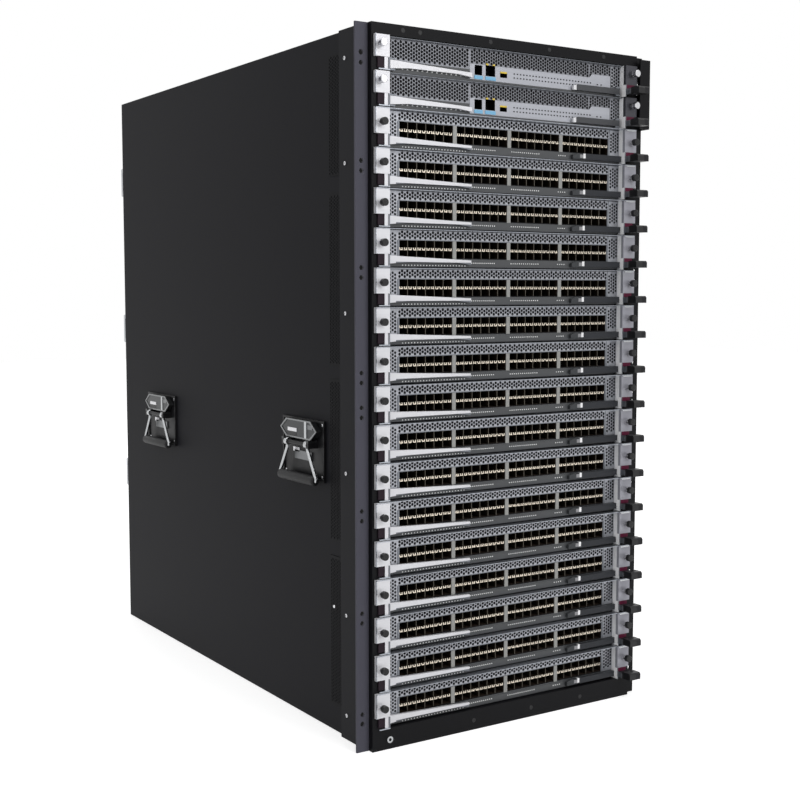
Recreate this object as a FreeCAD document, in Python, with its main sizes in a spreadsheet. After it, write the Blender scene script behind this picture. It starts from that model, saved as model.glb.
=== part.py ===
import FreeCAD, Part
import os
import re
import Sketcher

V = FreeCAD.Vector
os.makedirs("parts", exist_ok=True)
doc = FreeCAD.newDocument("modular_chassis_switch")

# Driving sizes in millimetres: X to the right seen from the front, the front towards -Y, +Z up.
# The origin lies under the middle of the chassis, on its base.
SIZES = {
    "body_width": 440.0,  # over the side panels
    "body_height": 931.5,  # twenty-one rack units less a running gap
    "body_depth": 857.0,  # front of the frame to the rear of the body
    "sheet_wall": 2.0,
    "lip_depth": 10.0,
    "frame_lap": 3.0,  # the front frame past each side panel
    "frame_depth": 22.0,
    "foot_overhang": 0.95,  # from the base down to the first rack unit's edge line
    "head_overhang": 1.0,  # from the roof up to the last rack unit's edge line
    "bottom_rail": 28.0,
    "top_rail": 14.5,
    "bay_margin": 14.0,  # from the body's side to the card opening
    "rack_reach": 18.3,  # each flange past the front frame
    "rack_hole_edge": 8.8,  # from the flange's outer edge to the middle of its holes
    "rack_hole": 7.0,
    "rack_hole_pair": 12.7,
    "flange_wall": 3.0,
    "flange_back": 9.0,
    "flange_leg": 66.0,
    "control_pitch": 44.5,
    "card_gap": 0.5,  # between a card's edge and the end of its slot
    "card_play": 2.0,  # a card's tray inside the opening, on each side
    "card_length": 430.0,
    "run_gap": 0.3,  # between a card's floor and its ledge
    "tray_wall": 1.5,
    "tray_side": 16.0,
    "face_back": 9.0,  # from the frame's front to the recessed faceplate
    "face_wall": 2.5,
    "face_inset": 20.0,  # from the body's side to the faceplate's end
    "face_side": 1.6,
    "ear_deep": 4.0,
    "ear_foot": 17.0,
    "socket_margin": 23.0,  # from the faceplate's end to the first socket
    "group_gap": 6.0,
    "socket_floor": 13.2,
    "socket_tall": 9.8,
    "socket_bar": 2.4,
    "socket_depth": 45.0,
    "cage_wall": 1.2,
    "lever_front": 2.5,
    "lever_wall": 4.0,
    "pivot_inset": 30.0,  # from the body's side to an ejector arm's pin
    "lever_heel": 3.5,
    "arm_arch": 2.5,
    "arm_heel_length": 24.0,
    "arm_tip_length": 21.6,
    "bar_slant": 8.0,
    "left_lever_tip": 66.0,
    "right_lever_tip": 108.0,
    "left_lever_floor": 4.6,
    "left_lever_tall": 10.8,
    "right_lever_floor": 3.5,
    "latch_reach": 28.5,
    "latch_past": 1.0,  # the grip past the body's side
    "latch_tall": 8.0,
    "claw_reach": 8.0,
    "button_start": 3.0,  # from the faceplate's end to the release button
    "button_inset": 5.0,  # from the body's side to the release button
    "lug_side": 8.0,
    "lug_rise": 2.0,
    "lever_pin": 3.0,
    "badge_left": 65.5,
    "badge_inset": 20.0,
    "badge_floor": 3.5,
    "badge_tall": 20.0,
    "badge_step": 5.0,
    "badge_step_wide": 34.0,
    "badge_out": 0.8,
    "jack_depth": 14.0,
    "port_floor": 9.5,
    "sink_wide": 290.0,
    "sink_deep": 120.0,
    "sink_tall": 24.0,
    "plug_wide": 320.0,
    "plug_tall": 22.0,
    "board_wall": 2.0,
    "plug_length": 12.0,
    "ledge_wall": 1.5,
    "ledge_reach": 9.0,
    "guide_gap": 1.0,
    "guide_tail": 16.0,  # the guides behind the midplane
    "midplane_wall": 4.0,
    "window_margin": 22.0,
    "window_gap": 22.0,
    "window_far_margin": 26.0,
    "cage_margin": 12.0,  # from the body's side to the first power bay
    "cell_rise": 63.0,
    "fan_head_gap": 2.5,  # over the uppermost fan bay
    "fan_rail": 4.0,
    "rear_frame_depth": 100.0,
    "midplane_gap": 3.0,
    "shelf_wall": 2.0,
    "fan_bay_gap": 0.5,
    "fan_depth": 110.0,
    "fan_wall": 2.5,
    "fan_bore_gap": 10.0,  # between the two bores of a tray
    "fan_inset": 6.0,
    "fan_face_inset": 4.0,  # from the body's side to a tray's face
    "rotor_tip_gap": 3.0,
    "rotor_hub": 76.0,
    "rotor_depth": 40.0,
    "rotor_pin": 8.0,
    "blade_wall": 2.4,
    "blade_rise": 19.0,
    "blade_camber": 4.0,
    "blade_margin": 4.0,
    "pin_gap": 0.05,
    "spider_wall": 6.0,
    "spider_deep": 4.0,
    "spider_lap": 2.0,  # a fan's cross past its bore
    "module_gap": 0.6,
    "module_depth": 300.0,
    "module_wall": 2.0,
    "inlet_width": 28.0,
    "inlet_tall": 21.0,
    "inlet_deep": 16.0,
    "inlet_inset": 12.0,
    "inlet_rise": 6.0,
    "tab_inset": 18.0,
    "tab_width": 6.0,
    "tab_tall": 24.0,
    "tab_reach": 12.0,
    "pull_reach": 26.0,
    "pull_bar": 6.0,
    "pull_width": 60.0,
    "vent_sunk": 1.2,
    "flank_vent_start": 68.0,  # openings in the side panels, behind the front
    "flank_vent_width": 26.0,
    "first_vent_floor": 36.0,
    "first_vent_top": 242.0,
    "second_vent_floor": 262.0,
    "second_vent_top": 481.0,
    "third_vent_floor": 498.0,
    "third_vent_top": 727.0,
    "fourth_vent_floor": 749.0,
    "fourth_vent_drop": 26.5,  # from the roof down to the uppermost vent
    "side_handle_z": 388.0,  # pivot of the folding carry handles
    "front_handle_y": 182.0,
    "rear_handle_y": 687.0,
    "dish_width": 118.0,
    "dish_tall": 84.0,
    "dish_drop": 50.0,
    "dish_wall": 1.5,
    "dish_rim": 3.5,
    "rim_wide": 3.0,
    "pivot_out": 12.0,
    "pivot_span": 64.0,
    "pivot_pin": 6.0,
    "cheek_width": 104.0,
    "cheek_tall": 26.0,
    "cheek_deep": 9.0,
    "lug_wall": 6.0,
    "lug_reach": 4.5,
    "bail_rod": 5.0,
    "bail_drop": 48.0,
    "bail_eye": 11.6,
    "eye_long": 7.0,
    "bail_root": 1.8,  # the wire's end inside the eye
    "grip_width": 100.0,
    "grip_wall": 14.0,
    "tag_drop": 5.5,  # from the roof down to the tag plate
    "tag_tall": 97.0,
    "tag_front": 8.0,
    "tag_wall": 2.0,
    "tag_width": 18.7,
    "jack_inset": 23.0,
    "jack_floor": 13.0,
    "jack_width": 9.0,
    "cut_past": 1.0,  # a cutter past the face that it opens
    "service_jack_left": 58.0,  # the control card's jacks, left of the middle
    "service_jack_right": 45.5,
    "service_jack_tall": 13.0,
    "network_jack_left": 40.0,
    "network_jack_right": 24.0,
    "network_jack_tall": 14.0,
    "memory_jack_left": 16.0,
    "memory_jack_right": 4.0,
    "memory_jack_tall": 8.0,
}

sheet = doc.addObject("Spreadsheet::Sheet", "Sizes")
for row, (alias, value) in enumerate(SIZES.items(), start=1):
    sheet.set("A%d" % row, alias)
    sheet.set("B%d" % row, str(value))
    sheet.setAlias("B%d" % row, alias)
doc.recompute()

LINE_SLOTS = 16
RACK_UNITS = 21
SOCKET_GROUPS = 4
GROUP_SOCKETS = 6
MODULE_COLUMNS = 4
MODULE_LEVELS = 2
FAN_BAYS = 3
WINDOWS = 4
ROTOR_BLADES = 7
PIN_SIDES = 10
HOLE_SIDES = 6
FAN_SIDES = 20
GRIP_SIDES = 8
HEXAGON_FLAT = 0.87  # a hexagon's flat over its corner radius

# Places and fitted sizes that several pieces share, written out in the sheet's sizes.
PLACES = {
    "front": "(0 - body_depth / 2)",
    "rear": "(body_depth / 2)",
    "half": "(body_width / 2)",
    "inside": "(body_width / 2 - sheet_wall)",
    "bay_front": "(0 - body_depth / 2 + frame_depth)",
    "bay_tall": "(body_height - bottom_rail - top_rail)",
    "line_pitch": "((bay_tall - 2 * control_pitch) / %d)" % LINE_SLOTS,
    "unit": "((body_height + foot_overhang + head_overhang) / %d)" % RACK_UNITS,
    "frame_width": "(body_width + 2 * frame_lap)",
    "opening_width": "(body_width - 2 * bay_margin)",
    "rack_width": "(frame_width + 2 * rack_reach)",
    "rack_hole_pitch": "(rack_width - 2 * rack_hole_edge)",
    "card_width": "(opening_width - 2 * card_play)",
    "guide_face": "(card_width / 2 + guide_gap)",
    "plug_back": "(front + face_back + card_length + plug_length + midplane_gap)",
    "ledge_length": "(plug_back - bay_front)",
    "guide_length": "(ledge_length + midplane_wall + guide_tail)",
    "window_step": "((2 * guide_face - window_margin - window_far_margin + window_gap) / %d)" % WINDOWS,
    "window_width": "(window_step - window_gap)",
    "window_tall": "(bay_tall - 2 * window_margin)",
    "power_bay": "(sheet_wall + %d * cell_rise + 2 * shelf_wall)" % MODULE_LEVELS,
    "cell_step": "((body_width - 2 * cage_margin) / %d)" % MODULE_COLUMNS,
    "fan_step": "((body_height - sheet_wall - power_bay - fan_head_gap) / %d)" % FAN_BAYS,
    "fan_spread": "(opening_width / 2 - fan_inset)",
    "fan_bore": "(fan_spread - fan_bore_gap)",
    "fan_face_width": "(body_width - 2 * fan_face_inset)",
    "face_width": "(body_width - 2 * face_inset)",
    "socket_span": "(face_width - 2 * socket_margin - %d * group_gap)" % (SOCKET_GROUPS - 1),
    "socket_step": "(socket_span / %d)" % (SOCKET_GROUPS * GROUP_SOCKETS),
    "group_wide": "(%d * socket_step)" % GROUP_SOCKETS,
    "lever_pivot": "(body_width / 2 - pivot_inset)",
    "latch_out": "(body_width / 2 + latch_past)",
    "button_inner": "(face_width / 2 + button_start)",
    "button_outer": "(body_width / 2 - button_inset)",
    "badge_right": "(face_width / 2 - badge_inset)",
    "fourth_vent_top": "(body_height - fourth_vent_drop)",
    "tag_floor": "(body_height - tag_tall - tag_drop)",
    "tag_inner": "(rack_width / 2 - tag_width)",
    "jack_out": "(body_width / 2 - jack_inset)",
}
WORD = re.compile(r"[a-z_]+")


def spell(text):
    """A size or place formula with every shared place written out."""
    text = str(text)
    while any(word in PLACES for word in WORD.findall(text)):
        text = WORD.sub(lambda m: PLACES.get(m.group(0), m.group(0)), text)
    return text


def formula(text):
    """The same formula as an expression that reads the spreadsheet."""
    return WORD.sub(lambda m: "Sizes." + m.group(0) if m.group(0) in SIZES else m.group(0), spell(text))


def size(text):
    """The formula's present value in millimetres."""
    return float(sheet.evalExpression(formula(text)))


def bind(obj, prop, text):
    obj.setExpression(prop, formula(text))


def place(obj, x, y, z):
    """Ties an object's position to the sheet."""
    bind(obj, ".Placement.Base.x", x)
    bind(obj, ".Placement.Base.y", y)
    bind(obj, ".Placement.Base.z", z)
    return obj


def block(name, x, y, z, dx, dy, dz):
    """A rectangular block with its lowest corner at x, y, z."""
    obj = doc.addObject("Part::Box", name)
    bind(obj, "Length", dx)
    bind(obj, "Width", dy)
    bind(obj, "Height", dz)
    return place(obj, x, y, z)


def peg(name, x, y, z, radius, length, axis):
    """A round peg from x, y, z along +X, +Y or +Z."""
    obj = doc.addObject("Part::Cylinder", name)
    turn = {"X": (V(0, 1, 0), 90), "Y": (V(1, 0, 0), -90), "Z": (V(0, 0, 1), 0)}[axis]
    obj.Placement = FreeCAD.Placement(V(0, 0, 0), FreeCAD.Rotation(*turn))
    bind(obj, "Radius", radius)
    bind(obj, "Height", length)
    return place(obj, x, y, z)


def facet_peg(name, x, y, z, radius, length, axis, sides):
    """A many-sided peg along +Y or +Z, its corners on the given radius."""
    obj = doc.addObject("Part::Prism", name)
    turn = {"Y": (V(1, 0, 0), -90), "Z": (V(0, 0, 1), 0)}[axis]
    obj.Placement = FreeCAD.Placement(V(0, 0, 0), FreeCAD.Rotation(*turn))
    obj.Polygon = sides
    bind(obj, "Circumradius", radius)
    bind(obj, "Height", length)
    return place(obj, x, y, z)


BORE_GROWTH = 1.055  # a bore's corners lie this much further out than its flats


def facet_bore(name, x, y, z, pin, length, axis):
    """A many-sided bore that clears a pin of this diameter."""
    radius = "(%s / 2 + pin_gap) * %g" % (pin, BORE_GROWTH)
    return facet_peg(name, x, y, z, radius, length, axis, PIN_SIDES)


def join(name, parts):
    obj = doc.addObject("Part::MultiFuse", name)
    obj.Shapes = parts
    obj.Refine = True
    return obj


def cut(name, base, tool):
    obj = doc.addObject("Part::Cut", name)
    obj.Base = base
    obj.Tool = tool
    obj.Refine = True
    return obj


PLANES = {"XY": "XY_Plane", "XZ": "XZ_Plane", "YZ": "YZ_Plane"}


def outline(body, name, plane, points, offset):
    """A closed sketch whose corners each read their two coordinates from the sheet."""
    sketch = body.newObject("Sketcher::SketchObject", name)
    origin = [f for f in body.Origin.OriginFeatures if f.Role == PLANES[plane]][0]
    sketch.AttachmentSupport = [(origin, "")]
    sketch.MapMode = "FlatFace"
    bind(sketch, ".AttachmentOffset.Base.z", offset)
    loops = points if isinstance(points[0], list) else [points]
    for corners in loops:
        spots = [V(size(a), size(b), 0) for a, b in corners]
        first = sketch.GeometryCount
        total = len(spots)
        for k in range(total):
            sketch.addGeometry(Part.LineSegment(spots[k], spots[(k + 1) % total]), False)
        for k in range(total):
            after = first + (k + 1) % total
            sketch.addConstraint(Sketcher.Constraint("Coincident", first + k, 2, after, 1))
        for k, (a, b) in enumerate(corners):
            for kind, text, value in (("DistanceX", a, spots[k].x), ("DistanceY", b, spots[k].y)):
                spot = Sketcher.Constraint(kind, -1, 1, first + k, 1, value)
                number = sketch.addConstraint(spot)
                bind(sketch, "Constraints[%d]" % number, text)
    return sketch


def pad(body, name, sketch, length):
    obj = body.newObject("PartDesign::Pad", name)
    obj.Profile = sketch
    bind(obj, "Length", length)
    sketch.Visibility = False
    return obj


def pocket(body, name, sketch, length, reverse):
    obj = body.newObject("PartDesign::Pocket", name)
    obj.Profile = sketch
    obj.Reversed = reverse
    bind(obj, "Length", length)
    return obj


def row_of(body, name, feature, step, count, axis):
    """A linear pattern of one feature along an axis of the body's origin."""
    obj = body.newObject("PartDesign::LinearPattern", name)
    obj.Originals = [feature]
    line = [f for f in body.Origin.OriginFeatures if f.Role == axis][0]
    obj.Direction = (line, [""])
    obj.Mode = "Spacing" if "Mode" in obj.PropertiesList else obj.Mode
    bind(obj, "Offset", step)
    obj.Occurrences = count
    body.Tip = obj
    return obj


def profile(name, plane, points, start, length):
    """A body made by padding one outline: from start, along the plane's normal."""
    body = doc.addObject("PartDesign::Body", name)
    sketch = outline(body, name + "_outline", plane, points, start)
    pad(body, name + "_pad", sketch, length)
    return body


def corners(x0, x1, y0, y1):
    """The four corners of an upright rectangle, as pairs of formulas."""
    return [(x0, y0), (x1, y0), (x1, y1), (x0, y1)]


def side(sign, text):
    """A formula on the left (-1) or right (+1) half."""
    return text if sign > 0 else "0 - (%s)" % text


nodes = {}


def keep(label, obj):
    """Marks an object as one piece of the chassis, under its own label."""
    obj.Label = label
    nodes[label] = obj
    return obj


# Shell: two folded side panels with sunk vents, floor, roof, and the front frame.
VENTS = ("first_vent", "second_vent", "third_vent", "fourth_vent")
for label, sign in (("left_side_panel", -1), ("right_side_panel", 1)):
    fold = [
        (side(sign, "half"), "bay_front"),
        (side(sign, "half"), "rear"),
        (side(sign, "half - lip_depth"), "rear"),
        (side(sign, "half - lip_depth"), "rear - sheet_wall"),
        (side(sign, "inside"), "rear - sheet_wall"),
        (side(sign, "inside"), "bay_front"),
    ]
    panel = profile(label + "_body", "XY", fold, "0", "body_height")
    fields = []
    for vent in VENTS:
        y0 = "front + flank_vent_start"
        y1 = "front + flank_vent_start + flank_vent_width"
        fields.append(corners(y0, y1, vent + "_floor", vent + "_top"))
    face = outline(panel, label + "_vents", "YZ", fields, side(sign, "half"))
    pocket(panel, label + "_sunk", face, "vent_sunk", sign < 0)
    keep(label, panel)

for label, base, inward in (("bottom_panel", "0", " + "), ("top_panel", "body_height", " - ")):
    skin = base + inward + "sheet_wall"
    lip = base + inward + "lip_depth"
    channel = [
        ("bay_front", base),
        ("rear - sheet_wall", base),
        ("rear - sheet_wall", skin),
        ("bay_front + sheet_wall", skin),
        ("bay_front + sheet_wall", lip),
        ("bay_front", lip),
    ]
    keep(label, profile(label + "_body", "YZ", channel, "0 - inside", "2 * inside"))

frame_half = "frame_width / 2"
bay_half = "opening_width / 2"
bay_top = "body_height - top_rail"
ring = [
    corners("0 - " + frame_half, frame_half, "0", "body_height"),
    corners("0 - " + bay_half, bay_half, "bottom_rail", bay_top),
]
frame = profile("front_frame_body", "XZ", ring, "0 - bay_front", "frame_depth")
post_out = "frame_width / 2 - sheet_wall"
post_in = "opening_width / 2 + sheet_wall"
hollow = [
    corners("0 - (%s)" % post_out, "0 - (%s)" % post_in, "bottom_rail", bay_top),
    corners(post_in, post_out, "bottom_rail", bay_top),
    corners("0 - " + bay_half, bay_half, "sheet_wall", "bottom_rail - sheet_wall"),
    corners("0 - " + bay_half, bay_half, bay_top + " + sheet_wall", "body_height - sheet_wall"),
]
behind = outline(frame, "front_frame_channels", "XZ", hollow, "0 - bay_front")
pocket(frame, "front_frame_hollow", behind, "frame_depth - sheet_wall", True)
keep("front_frame", frame)

# Rack flanges: folded angles along the front corners, drilled in pairs for the rack's nuts.
HOLE_ROWS = (1, 4, 7, 10, 11, 14, 17, 20)
for label, sign in (("left_rack_flange", -1), ("right_rack_flange", 1)):
    bend = [
        (side(sign, "rack_width / 2"), "front + flange_back"),
        (side(sign, "rack_width / 2"), "front + flange_back + flange_wall"),
        (side(sign, "frame_width / 2 + flange_wall"), "front + flange_back + flange_wall"),
        (side(sign, "frame_width / 2 + flange_wall"), "front + flange_back + flange_leg"),
        (side(sign, "frame_width / 2"), "front + flange_back + flange_leg"),
        (side(sign, "frame_width / 2"), "front + flange_back"),
    ]
    angle = profile(label + "_body", "XY", bend, "0", "body_height")
    drills = []
    for row in HOLE_ROWS:
        for way in (-1, 1):
            x = side(sign, "rack_hole_pitch / 2")
            z = "%d * unit - foot_overhang + %d * rack_hole_pair / 2" % (row, way)
            tag = "%s_drill_%d_%d" % (label, row, way + 1)
            y = "front + flange_back - cut_past"
            deep = "flange_wall + 2 * cut_past"
            if (row, way) in ((HOLE_ROWS[0], -1), (HOLE_ROWS[-1], 1)):
                drills.append(peg(tag, x, y, z, "rack_hole / 2", deep, "Y"))
            else:
                drills.append(facet_peg(tag, x, y, z, "rack_hole / 2", deep, "Y", HOLE_SIDES))
    tool = doc.addObject("Part::MultiFuse", label + "_drills")
    tool.Shapes = drills
    keep(label, cut(label + "_drilled", angle, tool))

# Card guides: folded channels with a ledge under every slot.
for label, sign in (("left_card_guides", -1), ("right_card_guides", 1)):
    fold = [
        (side(sign, "guide_face"), "bay_front"),
        (side(sign, "guide_face"), "bay_front + guide_length"),
        (side(sign, "inside"), "bay_front + guide_length"),
        (side(sign, "inside"), "bay_front + guide_length - sheet_wall"),
        (side(sign, "guide_face + sheet_wall"), "bay_front + guide_length - sheet_wall"),
        (side(sign, "guide_face + sheet_wall"), "bay_front + sheet_wall"),
        (side(sign, "inside"), "bay_front + sheet_wall"),
        (side(sign, "inside"), "bay_front"),
    ]
    tall = "body_height - 2 * lip_depth"
    guide = profile(label + "_body", "XY", fold, "lip_depth", tall)
    edges = (side(sign, "guide_face"), side(sign, "guide_face - ledge_reach"))
    first = corners(edges[0], edges[1], "bottom_rail - ledge_wall", "bottom_rail")
    sketch = outline(guide, label + "_ledge_outline", "XZ", first, "0 - plug_back")
    ledge = pad(guide, label + "_ledge", sketch, "ledge_length")
    doc.recompute()
    row_of(guide, label + "_ledges", ledge, "line_pitch", LINE_SLOTS + 1, "Z_Axis")
    doc.recompute()
    upper = "bottom_rail + %d * line_pitch + control_pitch" % LINE_SLOTS
    last = corners(edges[0], edges[1], upper + " - ledge_wall", upper)
    sketch = outline(guide, label + "_top_outline", "XZ", last, "0 - plug_back")
    pad(guide, label + "_top_ledge", sketch, "ledge_length")
    keep(label, guide)

# Midplane: a board between the guides with windows for the air.
plate = corners("0 - guide_face + run_gap", "guide_face - run_gap", "bottom_rail", bay_top)
midplane = profile("midplane_body", "XZ", plate, "0 - plug_back - midplane_wall", "midplane_wall")
left_edge = "0 - guide_face + window_margin"
sill = "bottom_rail + window_margin"
window = corners(left_edge, left_edge + " + window_width", sill, sill + " + window_tall")
sketch = outline(midplane, "midplane_window_outline", "XZ", window, "0 - plug_back")
hole = pocket(midplane, "midplane_window", sketch, "midplane_wall", False)
doc.recompute()
row_of(midplane, "midplane_windows", hole, "window_step", WINDOWS, "X_Axis")
doc.recompute()
keep("midplane", midplane)

# Power cage: one folded grid of eight bays low at the back.
cells = [corners("0 - inside", "inside", "sheet_wall", "power_bay")]
for column in range(MODULE_COLUMNS):
    for level in range(MODULE_LEVELS):
        x0 = "(%d - %d / 2) * cell_step + shelf_wall / 2" % (column, MODULE_COLUMNS)
        x1 = "(%d - %d / 2) * cell_step - shelf_wall / 2" % (column + 1, MODULE_COLUMNS)
        z0 = "sheet_wall + shelf_wall + %d * cell_rise" % level
        z1 = "sheet_wall + %d * cell_rise" % (level + 1)
        cells.append(corners(x0, x1, z0, z1))
cage_start = "0 - rear + 2 * sheet_wall"
cage = profile("power_cage_body", "XZ", cells, cage_start, "module_depth - 2 * lip_depth")
keep("power_cage", cage)

# Rear frame: a deep collar with an opening for each fan tray.
bays = [corners("0 - inside", "inside", "power_bay", "body_height - sheet_wall")]
for bay in range(FAN_BAYS):
    z0 = "power_bay + %d * fan_step + fan_rail" % bay
    z1 = "power_bay + %d * fan_step - fan_rail" % (bay + 1)
    bays.append(corners("0 - opening_width / 2", "opening_width / 2", z0, z1))
for sign in (-1, 1):
    x0 = side(sign, "inside - sheet_wall")
    x1 = side(sign, "opening_width / 2 + sheet_wall")
    bays.append(corners(x0, x1, "power_bay + sheet_wall", "body_height - 2 * sheet_wall"))
collar = profile("rear_frame_body", "XZ", bays, "0 - rear + 2 * sheet_wall", "rear_frame_depth")
keep("rear_frame", collar)


def copy_of(label, form, x, y, z, turn=0):
    """One more piece made to the same form, at its own place."""
    obj = doc.addObject("Part::Compound", label + "_piece")
    obj.Links = [form]
    obj.Placement = FreeCAD.Placement(V(0, 0, 0), FreeCAD.Rotation(V(0, 0, 1), turn))
    place(obj, x, y, z)
    return obj


def pull(name, x, y, z):
    """A bent grab handle that stands off a rear face, its middle at x, y, z."""
    bend = [
        ("0", "0 - pull_width / 2"),
        ("pull_reach", "0 - pull_width / 2 + pull_bar"),
        ("pull_reach", "pull_width / 2 - pull_bar"),
        ("0", "pull_width / 2"),
        ("0", "pull_width / 2 - pull_bar"),
        ("pull_reach - pull_bar", "pull_width / 2 - 2 * pull_bar"),
        ("pull_reach - pull_bar", "0 - pull_width / 2 + 2 * pull_bar"),
        ("0", "0 - pull_width / 2 + pull_bar"),
    ]
    body = profile(name, "YZ", bend, "0 - pull_bar", "2 * pull_bar")
    return place(body, x, y, z)


# Fan trays: a duct, a face with two bores, and a cross in each that holds the rotor's pin.
# Local frame: middle of the bay, the rear of the chassis at y = 0.
tray_half = "(opening_width / 2 - fan_bay_gap)"
tray_rise = "((fan_step - 2 * fan_rail) / 2 - fan_bay_gap)"
face_rise = "((fan_step - 2 * fan_bay_gap) / 2)"
duct_half = tray_half + " - fan_wall"
duct_rise = tray_rise + " - fan_wall"
walls = [
    corners("0 - " + tray_half, tray_half, "0 - " + tray_rise, tray_rise),
    corners("0 - (%s)" % duct_half, duct_half, "0 - (%s)" % duct_rise, duct_rise),
]
duct = profile("fan_duct", "XZ", walls, "0", "fan_depth")
plate = corners("0 - fan_face_width / 2", "fan_face_width / 2", "0 - " + face_rise, face_rise)
face = profile("fan_face", "XZ", plate, "0 - fan_wall", "fan_wall")
bore_half = "fan_bore / 2 + spider_lap"
hub_seat = "0 - spider_deep - rotor_depth - 2 * run_gap - spider_wall"
pin_length = "rotor_depth + spider_wall + spider_deep"
bores = []
fan_parts = []
for sign in (-1, 1):
    tag = "left" if sign < 0 else "right"
    x = side(sign, "fan_spread / 2")
    bores.append(facet_peg("fan_bore_" + tag, x, "0 - cut_past", "0",
                           "fan_bore / 2", "fan_wall + 2 * cut_past", "Y", FAN_SIDES))
    fan_parts.append(block("fan_bar_" + tag, x + " - (%s)" % bore_half, "0 - spider_deep",
                           "0 - spider_wall / 2", "2 * (%s)" % bore_half, "spider_deep", "spider_wall"))
    fan_parts.append(block("fan_post_" + tag, x + " - spider_wall / 2", "0 - spider_deep",
                           "0 - (%s)" % bore_half, "spider_wall", "spider_deep", "2 * (%s)" % bore_half))
    fan_parts.append(facet_peg("fan_pin_" + tag, x, hub_seat, "0",
                               "rotor_pin / 2", pin_length, "Y", PIN_SIDES))
    fan_parts.append(pull("fan_pull_" + tag, side(sign, "fan_spread + pull_bar"), "fan_wall", "0"))
holes = doc.addObject("Part::MultiFuse", "fan_bores")
holes.Shapes = bores
fan_form = join("fan_tray_form", [duct, cut("fan_front", face, holes)] + fan_parts)

# Rotor: a many-sided hub bored for the pin, and a ring of cambered blades set at a slant.
rotor = doc.addObject("PartDesign::Body", "rotor_blades")
camber = [
    ("blade_margin", "0 - blade_rise"),
    ("rotor_depth / 2 - blade_camber", "0"),
    ("rotor_depth - blade_margin", "blade_rise"),
    ("rotor_depth - blade_margin + blade_wall", "blade_rise"),
    ("rotor_depth / 2 - blade_camber + blade_wall", "0"),
    ("blade_margin + blade_wall", "0 - blade_rise"),
]
section = outline(rotor, "blade_section", "YZ", camber, "rotor_hub / 2 - 3 * blade_wall")
blade_length = "(fan_bore - rotor_hub) / 2 - rotor_tip_gap + 3 * blade_wall"
blade = pad(rotor, "rotor_blade", section, blade_length)
doc.recompute()
blades = rotor.newObject("PartDesign::PolarPattern", "rotor_ring")
blades.Originals = [blade]
blades.Axis = ([f for f in rotor.Origin.OriginFeatures if f.Role == "Y_Axis"][0], [""])
blades.Angle = 360
blades.Occurrences = ROTOR_BLADES
rotor.Tip = blades
doc.recompute()
hub = facet_peg("rotor_hub_blank", "0", "0", "0", "rotor_hub / 2", "rotor_depth", "Y", PIN_SIDES)
rotor_solid = join("rotor_solid", [hub, rotor])
bore_radius = "rotor_pin / 2 + pin_gap"
rotor_bore = peg("rotor_bore", "0", "0 - cut_past", "0", bore_radius, "rotor_depth + 2 * cut_past", "Y")
rotor_form = cut("fan_rotor_form", rotor_solid, rotor_bore)
for bay, word in enumerate(("lower", "middle", "upper")):
    middle = "power_bay + %d * fan_step + fan_step / 2" % bay
    keep("%s_fan_tray" % word, copy_of("%s_fan_tray" % word, fan_form, "0", "rear", middle))
    for sign, hand in ((-1, "left"), (1, "right")):
        label = "%s_%s_fan_rotor" % (word, hand)
        y = "rear - spider_deep - rotor_depth - 2 * run_gap"
        keep(label, copy_of(label, rotor_form, side(sign, "fan_spread / 2"), y, middle))

# Power modules: closed casings with a mains inlet, a pull and a latch tab at the rear.
# Local frame: middle of the cell's floor, the rear of the chassis at y = 0.
module_half = "((cell_step - shelf_wall) / 2 - module_gap)"
module_tall = "(cell_rise - shelf_wall - 2 * module_gap)"
module_wide = "2 * " + module_half
casing_long = "module_depth + module_wall"
case = block("module_case", "0 - " + module_half, "0 - module_depth", "module_gap",
             module_wide, casing_long, module_tall)
inlet = block("module_inlet", "0 - %s + inlet_inset" % module_half, "module_wall - inlet_deep",
              "module_gap + inlet_rise", "inlet_width", "inlet_deep + cut_past", "inlet_tall")
hollow = block("module_hollow", "module_wall - " + module_half, "0 - module_depth - cut_past",
               "module_gap + module_wall", module_wide + " - 2 * module_wall",
               "module_depth + cut_past - inlet_deep - module_wall", module_tall + " - 2 * module_wall")
tab = block("module_latch", module_half + " - tab_inset", "module_wall", "module_gap + inlet_rise",
            "tab_width", "tab_reach", "tab_tall")
grab = pull("module_pull", "0", "module_wall", "module_gap + %s / 2" % module_tall)
casing = cut("module_body", cut("module_shell", case, hollow), inlet)
module_form = join("power_module_form", [casing, tab, grab])
for level in range(MODULE_LEVELS):
    for column in range(MODULE_COLUMNS):
        label = "power_module_%d" % (level * MODULE_COLUMNS + column + 1)
        x = "(%d - %d / 2) * cell_step" % (column, MODULE_COLUMNS - 1)
        z = "sheet_wall + shelf_wall + %d * cell_rise" % level
        keep(label, copy_of(label, module_form, x, "rear", z))

# Folding carry handles. Local frame: the middle of the pivot pin; the panel lies towards +X.
dish_top = "dish_tall - dish_drop"
rim = corners("0 - dish_width / 2", "dish_width / 2", "0 - dish_drop", dish_top)
dish = profile("dish_plate", "YZ", rim, "pivot_out - dish_rim", "dish_rim")
well = corners("0 - dish_width / 2 + rim_wide", "dish_width / 2 - rim_wide",
               "0 - dish_drop + rim_wide", dish_top + " - rim_wide")
sketch = outline(dish, "dish_well", "YZ", well, "pivot_out - dish_rim")
pocket(dish, "dish_sunk", sketch, "dish_rim - dish_wall", True)
eye = "bail_eye / 2 + 2 * run_gap"
cheek_shape = [
    ("0 - cheek_width / 2", eye + " + cheek_tall / 2"),
    ("0 - cheek_width / 3", eye),
    ("cheek_width / 3", eye),
    ("cheek_width / 2", eye + " + cheek_tall / 2"),
    ("cheek_width / 3", eye + " + cheek_tall"),
    ("0 - cheek_width / 3", eye + " + cheek_tall"),
]
cheek_start = "pivot_out - dish_wall - cheek_deep"
cheek = profile("handle_cheek", "YZ", cheek_shape, cheek_start, "cheek_deep")
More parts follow.
